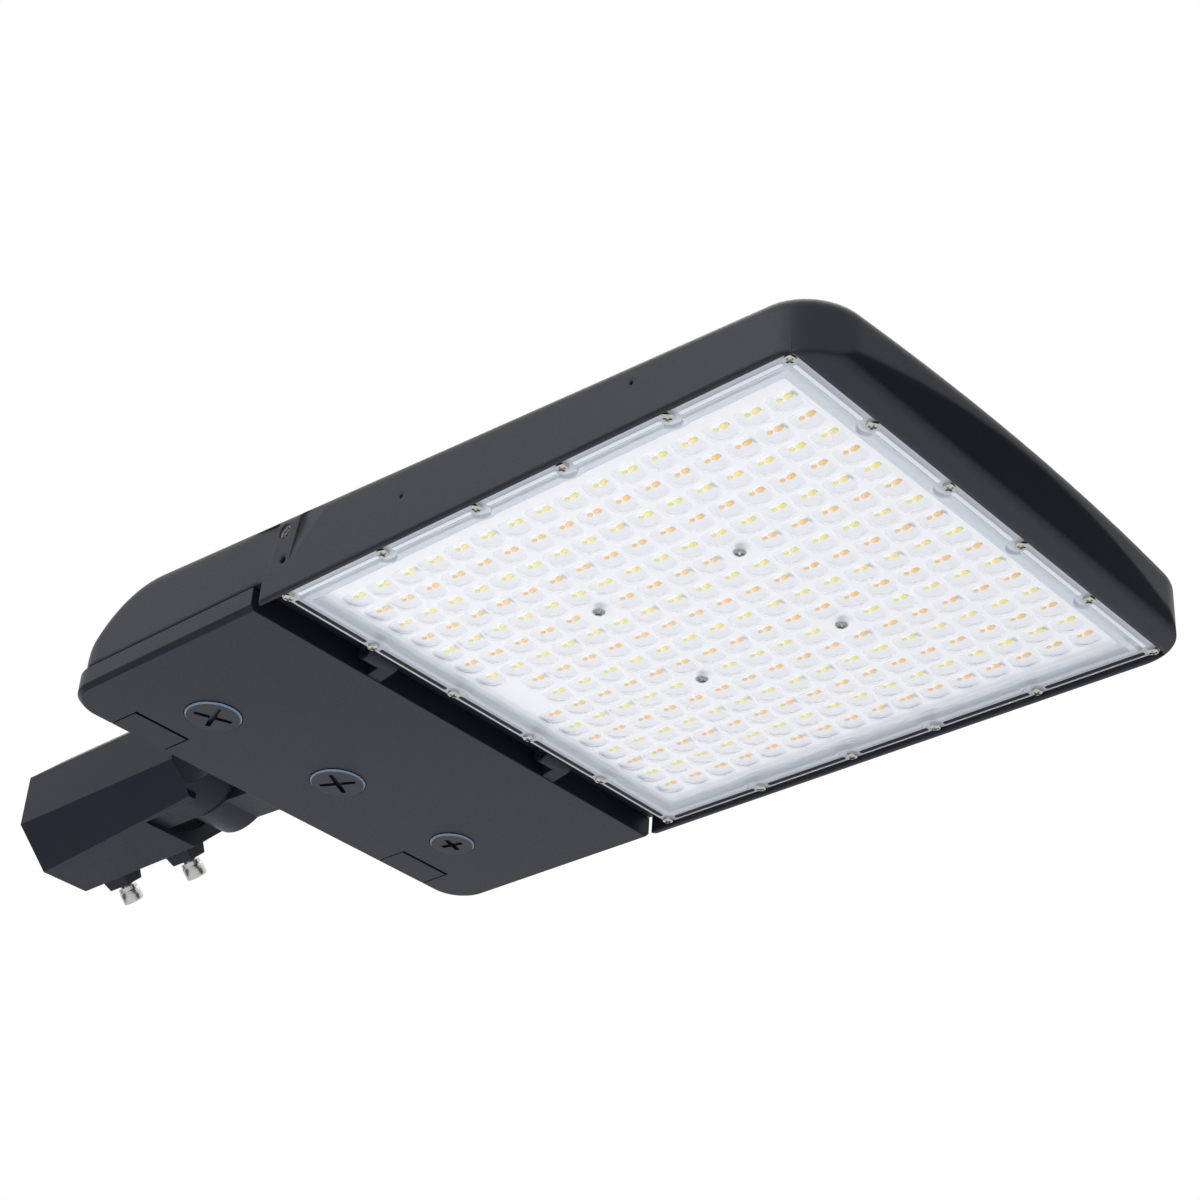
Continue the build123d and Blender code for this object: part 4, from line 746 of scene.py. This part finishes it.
class AREALIGHT_OT_plugs(bpy.types.Operator):
    """Chamfered screw plugs with a cross slot in the door"""

    bl_idname = "arealight.plugs"
    bl_label = "Door plugs"

    def plug(self, node, turn, reach):
        """Disc grid sunk by the slot's depth inside the cross, which is turned by so many degrees and reaches a
        share of the face, then rings for chamfer, side, ledge and shank. The chamfer is zone 1."""
        put = sizes()
        ledge, slope = 2.7 * MM, 0.06 * MM  # head past the shank, lean of the slot's walls
        low, high = node_box(node)
        centre, radius = (low + high) / 2, (high[0] - low[0]) / 2
        flat, shank = radius - put.plug_chamfer, radius - ledge
        half, lip = put.slot_width / 2 / flat, slope / flat
        lines = [half, half + lip, (half + reach) / 2, reach, reach + lip, 0.9, 1.0]
        x, y, near, far = disc_grid(lines)
        slot = (near < half + lip / 2) & (far < reach + lip / 2)
        spun = flat * np.stack(turned(x, y, math.radians(turn)))
        top = point_rows(*spun, low[2] + np.where(slot, put.slot_depth, 0.0))
        skin, ring = grid_faces(*x.shape), border(*x.shape)
        outward = top[ring, :2] / flat
        loop, parts, faces = ring, [top], skin.tolist()
        for r, z in (
            (radius, low[2] + put.plug_chamfer),
            (radius, low[2] + put.plug_head),
            (shank, low[2] + put.plug_head),
            (shank, high[2]),
        ):
            after = sum(len(part) for part in parts) + np.arange(len(ring))
            parts.append(np.insert(outward * r, 2, z, axis=1))
            faces += between(loop, after).tolist()
            loop = after
        faces.append(loop.tolist())
        zones = np.zeros(len(faces), dtype=np.int32)
        zones[len(skin) : len(skin) + len(ring)] = 1
        return np.concatenate(parts) + (centre[0], centre[1], 0.0), faces, zones

    def execute(self, context):
        # Dark face as the door's, with a thin pale ring on the chamfer: a painted highlight
        nylon = moulded_plastic("glass-filled nylon plug, moulded", tint("plug"), 0.7, 0.3)
        edge = moulded_plastic("pale nylon plug edge, burnished", tint("plug_edge"), 0.7, 0.3)
        for node, body, turn, reach in (
            ("selector_plug_left", "left_plug", -23.0, 0.72),
            ("selector_plug_middle", "middle_plug", 26.0, 0.72),
            ("sensor_plug", "small_plug", 14.0, 0.55),
        ):
            points, faces, zones = self.plug(node, turn, reach)
            piece = make_piece(node + "_cap", points, faces, nylon, body, "plug_plastic", 25.0)
            add_finish(piece, edge, zones)
            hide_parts(node)
        return {"FINISHED"}


class AREALIGHT_OT_clamp_bolts(bpy.types.Operator):
    """Socket-head bolts that clamp the tenon"""

    bl_idname = "arealight.clamp_bolts"
    bl_label = "Clamp bolts"

    def bolts(self):
        """Rings round a bolt's axis: hexagons cos(30) / cos(angle from the flat's middle) for the key, circles
        for the head, its chamfers and the shank."""
        count, head = 48, sizes().bolt_head
        wide = head / MM
        key = [(0.0, -4.0), (3.9, -4.0), (3.9, -0.3), (4.2, 0.0)]  # radius and height from the top, millimetres
        body = [(5.7, 0.0), (6.3, -0.5), (wide, -1.0), (wide, -7.5), (6.2, -8.0)]
        shank = [(4.0, -8.0), (4.0, -11.5), (3.7, -12.0), (3.7, -27.0), (0.0, -27.0)]
        turn = angles(count)
        flats = math.cos(math.pi / 6) / np.cos(turn % (math.pi / 3) - math.pi / 6)
        rings = np.array(key + body + shank) * MM
        radius, height = np.tile(rings[:, :1], count), rings[:, 1]
        radius[: len(key)] *= flats
        low, high = node_box("tenon_clamp_bolts")
        lean = math.sqrt(0.5)
        out, side = np.array([0.0, lean, -lean]), np.array([1.0, 0.0, 0.0])
        spokes = np.cos(turn)[:, None] * side + np.sin(turn)[:, None] * np.cross(out, side)
        shape = (radius[..., None] * spokes + height[:, None, None] * out).reshape(-1, 3)
        top = out * (high[1] / lean - head)
        places = [top + (x, 0, 0) for x in (low[0] + head, high[0] - head)]
        return copies(shape, grid_faces(len(rings), count, False, True).tolist(), places)

    def execute(self, context):
        # Bright heads with soft glints
        steel = formed_metal("stainless steel, turned and tumbled", tint("steel"), 0.26)
        piece = make_piece("clamp_bolts_turned", *self.bolts(), steel, "fitter", "stainless")
        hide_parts("tenon_clamp_bolts")
        return {"FINISHED"}


class AREALIGHT_OT_inserts(bpy.types.Operator):
    """Threaded inserts in the side walls"""

    bl_idname = "arealight.inserts"
    bl_label = "Threaded inserts"

    def insert(self, side):
        """Thread in a tube: radius r + d |2 frac(z / pitch + angle / turn) - 1| over depth z and angle."""
        put = sizes()
        count, steps = 32, 49
        start, end, pitch = 0.5 * MM, 8.5 * MM, 1.6 * MM  # the pitch is coarser than a real thread's, to show
        crest, cut, wall = 3.0 * MM, 0.85 * MM, 3.95 * MM
        low, high = node_box("housing")
        rear = node_box("lens_panel")[0][0]
        place = (rear + put.accessory_x, high[1] if side > 0 else low[1], lens_plane()[3] + put.accessory_z)
        turn = angles(count)
        depth = np.linspace(start, end, steps)[:, None]
        tooth = abs(2 * ((depth / pitch + turn / math.tau) % 1.0) - 1)
        outside = np.full((1, count), wall)
        radius = np.concatenate([outside, crest + cut * tooth, outside])
        depth = np.concatenate([depth[:1], depth, depth[-1:]])
        points = point_rows(radius * np.cos(turn), -side * depth, radius * np.sin(turn)) + place
        return points, grid_faces(len(radius), count, True, True)

    def execute(self, context):
        # Grey metal, the screws' steel at half brightness as painted shade in the hole, with a glint on each
        # thread
        cut = formed_metal("stainless steel, threaded", shaded(tint("screw"), 0.5), 0.2)
        make_piece("insert_left", *self.insert(-1), cut, "head", "stainless")
        make_piece("insert_right", *self.insert(1), cut, "head", "stainless")
        return {"FINISHED"}


class AREALIGHT_OT_teeth(bpy.types.Operator):
    """Teeth of the knuckle along its seam"""

    bl_idname = "arealight.teeth"
    bl_label = "Knuckle teeth"

    def teeth(self):
        """Ring on the knuckle's seam whose edge zigzags: half a tooth for each step of the angle."""
        put = sizes()
        count, seam, tip, root = 168, 0.3 * MM, 2.0 * MM, 0.4 * MM
        inner, outer = put.knuckle_radius - 0.8 * MM, put.knuckle_radius + 0.04 * MM
        turn = angles(count)
        flat, tooth = np.full(count, seam), np.where(np.arange(count) % 2, tip, root)
        rings = [(inner, flat), (outer, flat), (outer, -tooth), (inner, -tooth)]
        points = [point_rows(put.knuckle_x + r * np.cos(turn), y, r * np.sin(turn)) for r, y in rings]
        return np.concatenate(points), grid_faces(len(rings), count, True, True)

    def execute(self, context):
        # Painted shade: near black, as a seam in shade
        seam_shade = moulded_plastic("soot-dark cast teeth, powder coated", tint("teeth"), 0.6, 0.8)
        make_piece("knuckle_teeth", *self.teeth(), seam_shade, "fitter", "powder_coat")
        return {"FINISHED"}


class AREALIGHT_OT_stage(bpy.types.Operator):
    """Pale floor, soft studio lamps, white world and the camera below the light"""

    bl_idname = "arealight.stage"
    bl_label = "Stage"

    def aimed(self, place, view, up):
        """Matrix of a lamp or camera at a place that looks along a direction."""
        back = -np.array(view) / np.linalg.norm(view)
        right = np.cross(up, back)
        right = right / np.linalg.norm(right)
        turn = np.stack([right, np.cross(back, right), back], axis=1)
        return Matrix([[*turn[k], place[k]] for k in range(3)] + [[0, 0, 0, 1]])

    def card(self, name, corners, material):
        """Flat stage piece from its four corners in metres."""
        mesh = bpy.data.meshes.new(name)
        mesh.from_pydata(corners, [], [(0, 1, 2, 3)])
        mesh.materials.append(material)
        card = new_object(name, mesh)
        return card

    def seen(self, tree, low, high):
        """A high level for camera, mirror and glass rays and a low one for the rest."""
        path = add_node(tree, "ShaderNodeLightPath").outputs
        rays = path["Is Camera Ray"]
        for kind in ("Is Transmission Ray", "Is Glossy Ray"):
            either = {0: rays, 1: path[kind]}
            rays = add_node(tree, "ShaderNodeMath", either, operation="MAXIMUM").outputs["Value"]
        levels = {"Value": rays, "To Min": low, "To Max": high}
        return add_node(tree, "ShaderNodeMapRange", levels).outputs["Result"]

    def paper(self):
        """Pale studio paper, rolled out: matt, paler to the eye than its light, with the object's shadow."""
        glow = 0.3
        material, tree, _ = start_material("studio paper, rolled")
        light = {"Emission Color": tint("floor"), "Emission Strength": self.seen(tree, 0.0, glow)}
        inputs = {"Base Color": tint("floor"), "Roughness": 0.8, **light}
        shader = add_node(tree, "ShaderNodeBsdfPrincipled", inputs)
        add_node(tree, "ShaderNodeOutputMaterial", {"Surface": shader.outputs["BSDF"]})
        return material

    def world(self):
        """White for camera, mirror and glass rays, a plain grey level for the light on the object."""
        grey, white = 0.5, 1.0
        world = bpy.data.worlds.new("studio")
        world.use_nodes = True
        tree = world.node_tree
        tree.nodes.clear()
        inputs = {"Color": (1.0, 1.0, 1.0, 1.0), "Strength": self.seen(tree, grey, white)}
        sky = add_node(tree, "ShaderNodeBackground", inputs)
        add_node(tree, "ShaderNodeOutputWorld", {"Surface": sky.outputs["Background"]})
        bpy.context.scene.world = world

    def cards(self):
        """The floor, and two black flags that the faces of the castings mirror."""
        reach, depth = 20.0, -2.0
        floor = [(-reach, -reach), (reach, -reach), (reach, reach), (-reach, reach)]
        self.card("floor", [(x, y, depth) for x, y in floor], self.paper())
        # Black that gives nothing back
        velvet = moulded_plastic("black velvet card, stretched", tint("velvet"), 2.0, 0.9)
        for name, (start, end), (low, high) in (
            ("rear flag", ((-0.95, -0.25), (-0.15, -1.0)), (-0.72, -0.25)),
            ("front flag", ((1.88, 0.05), (1.12, 1.02)), (-0.4, 0.7)),
        ):
            corners = [(*start, low), (*end, low), (*end, high), (*start, high)]
            self.card(name, corners, velvet).visible_camera = False

    def lamps(self):
        """Soft oblong lamps: place, target and sides in metres, watts, and whether glossy faces mirror them."""
        for name, place, target, side, power, mirrored in (
            ("side lamp", (0.0, -2.4, 1.2), (0.4, 0, 0), (2.0, 1.2), 22.0, True),
            ("under lamp", (0.2, -0.3, -1.5), (0.5, 0, 0), (1.4, 1.4), 14.5, False),
            ("top lamp", (0.2, 0.4, 2.2), (0.4, 0, 0), (2.0, 2.0), 24.0, True),
        ):
            data = bpy.data.lights.new(name, "AREA")
            data.shape = "RECTANGLE"
            data.size, data.size_y = side
            data.energy = power
            lamp = new_object(name, data)
            lamp.matrix_world = self.aimed(place, np.array(target) - place, (0.0, 0.0, 1.0))
            lamp.visible_camera = False
            lamp.visible_glossy = mirrored

    def camera(self):
        """Camera at the photograph's place and angle, with its lens in millimetres on a 36 mm sensor."""
        place = np.array([1185.7, -772.0, -678.7]) * MM
        view, up = (-0.5854, 0.6085, 0.5358), (0.3186, -0.4351, 0.8422)
        data = bpy.data.cameras.new("camera")
        data.sensor_width = 36.0
        data.lens = 72.67
        data.clip_end = 50.0
        camera = new_object("camera", data)
        camera.matrix_world = self.aimed(place, view, up)
        bpy.context.scene.camera = camera

    def execute(self, context):
        context.scene.view_settings.view_transform = "Standard"
        self.world()
        self.cards()
        self.lamps()
        self.camera()
        return {"FINISHED"}


STEPS = (
    AREALIGHT_OT_castings,
    AREALIGHT_OT_lens_panel,
    AREALIGHT_OT_seat_beads,
    AREALIGHT_OT_gasket,
    AREALIGHT_OT_strips,
    AREALIGHT_OT_lights,
    AREALIGHT_OT_screws,
    AREALIGHT_OT_plugs,
    AREALIGHT_OT_clamp_bolts,
    AREALIGHT_OT_inserts,
    AREALIGHT_OT_teeth,
    AREALIGHT_OT_stage,
)


class AREALIGHT_PT_panel(bpy.types.Panel):
    """Lists the steps that dress the light, and its settings"""

    bl_idname = "AREALIGHT_PT_panel"
    bl_label = "Area Light"
    bl_space_type = "VIEW_3D"
    bl_region_type = "UI"
    bl_category = "Area Light"

    def draw(self, context):
        column = self.layout.column()
        for step in STEPS:
            column.operator(step.bl_idname)
        for group in (context.scene.area_light_sizes, context.scene.area_light_colours):
            box = self.layout.box()
            for key in group.__annotations__:
                box.prop(group, key)


CLASSES = (AreaLightSizes, AreaLightColours, *STEPS, AREALIGHT_PT_panel)


def register():
    """Registers the classes and hangs the settings on the scene."""
    for item in CLASSES:
        bpy.utils.register_class(item)
    bpy.types.Scene.area_light_sizes = bpy.props.PointerProperty(type=AreaLightSizes)
    bpy.types.Scene.area_light_colours = bpy.props.PointerProperty(type=AreaLightColours)


def unregister():
    """Takes the settings and classes away again."""
    del bpy.types.Scene.area_light_sizes
    del bpy.types.Scene.area_light_colours
    for item in reversed(CLASSES):
        bpy.utils.unregister_class(item)


def main():
    """Dresses the light step by step."""
    register()
    for step in STEPS:
        area, name = step.bl_idname.split(".")
        getattr(getattr(bpy.ops, area), name)()


if __name__ == "__main__":
    main()
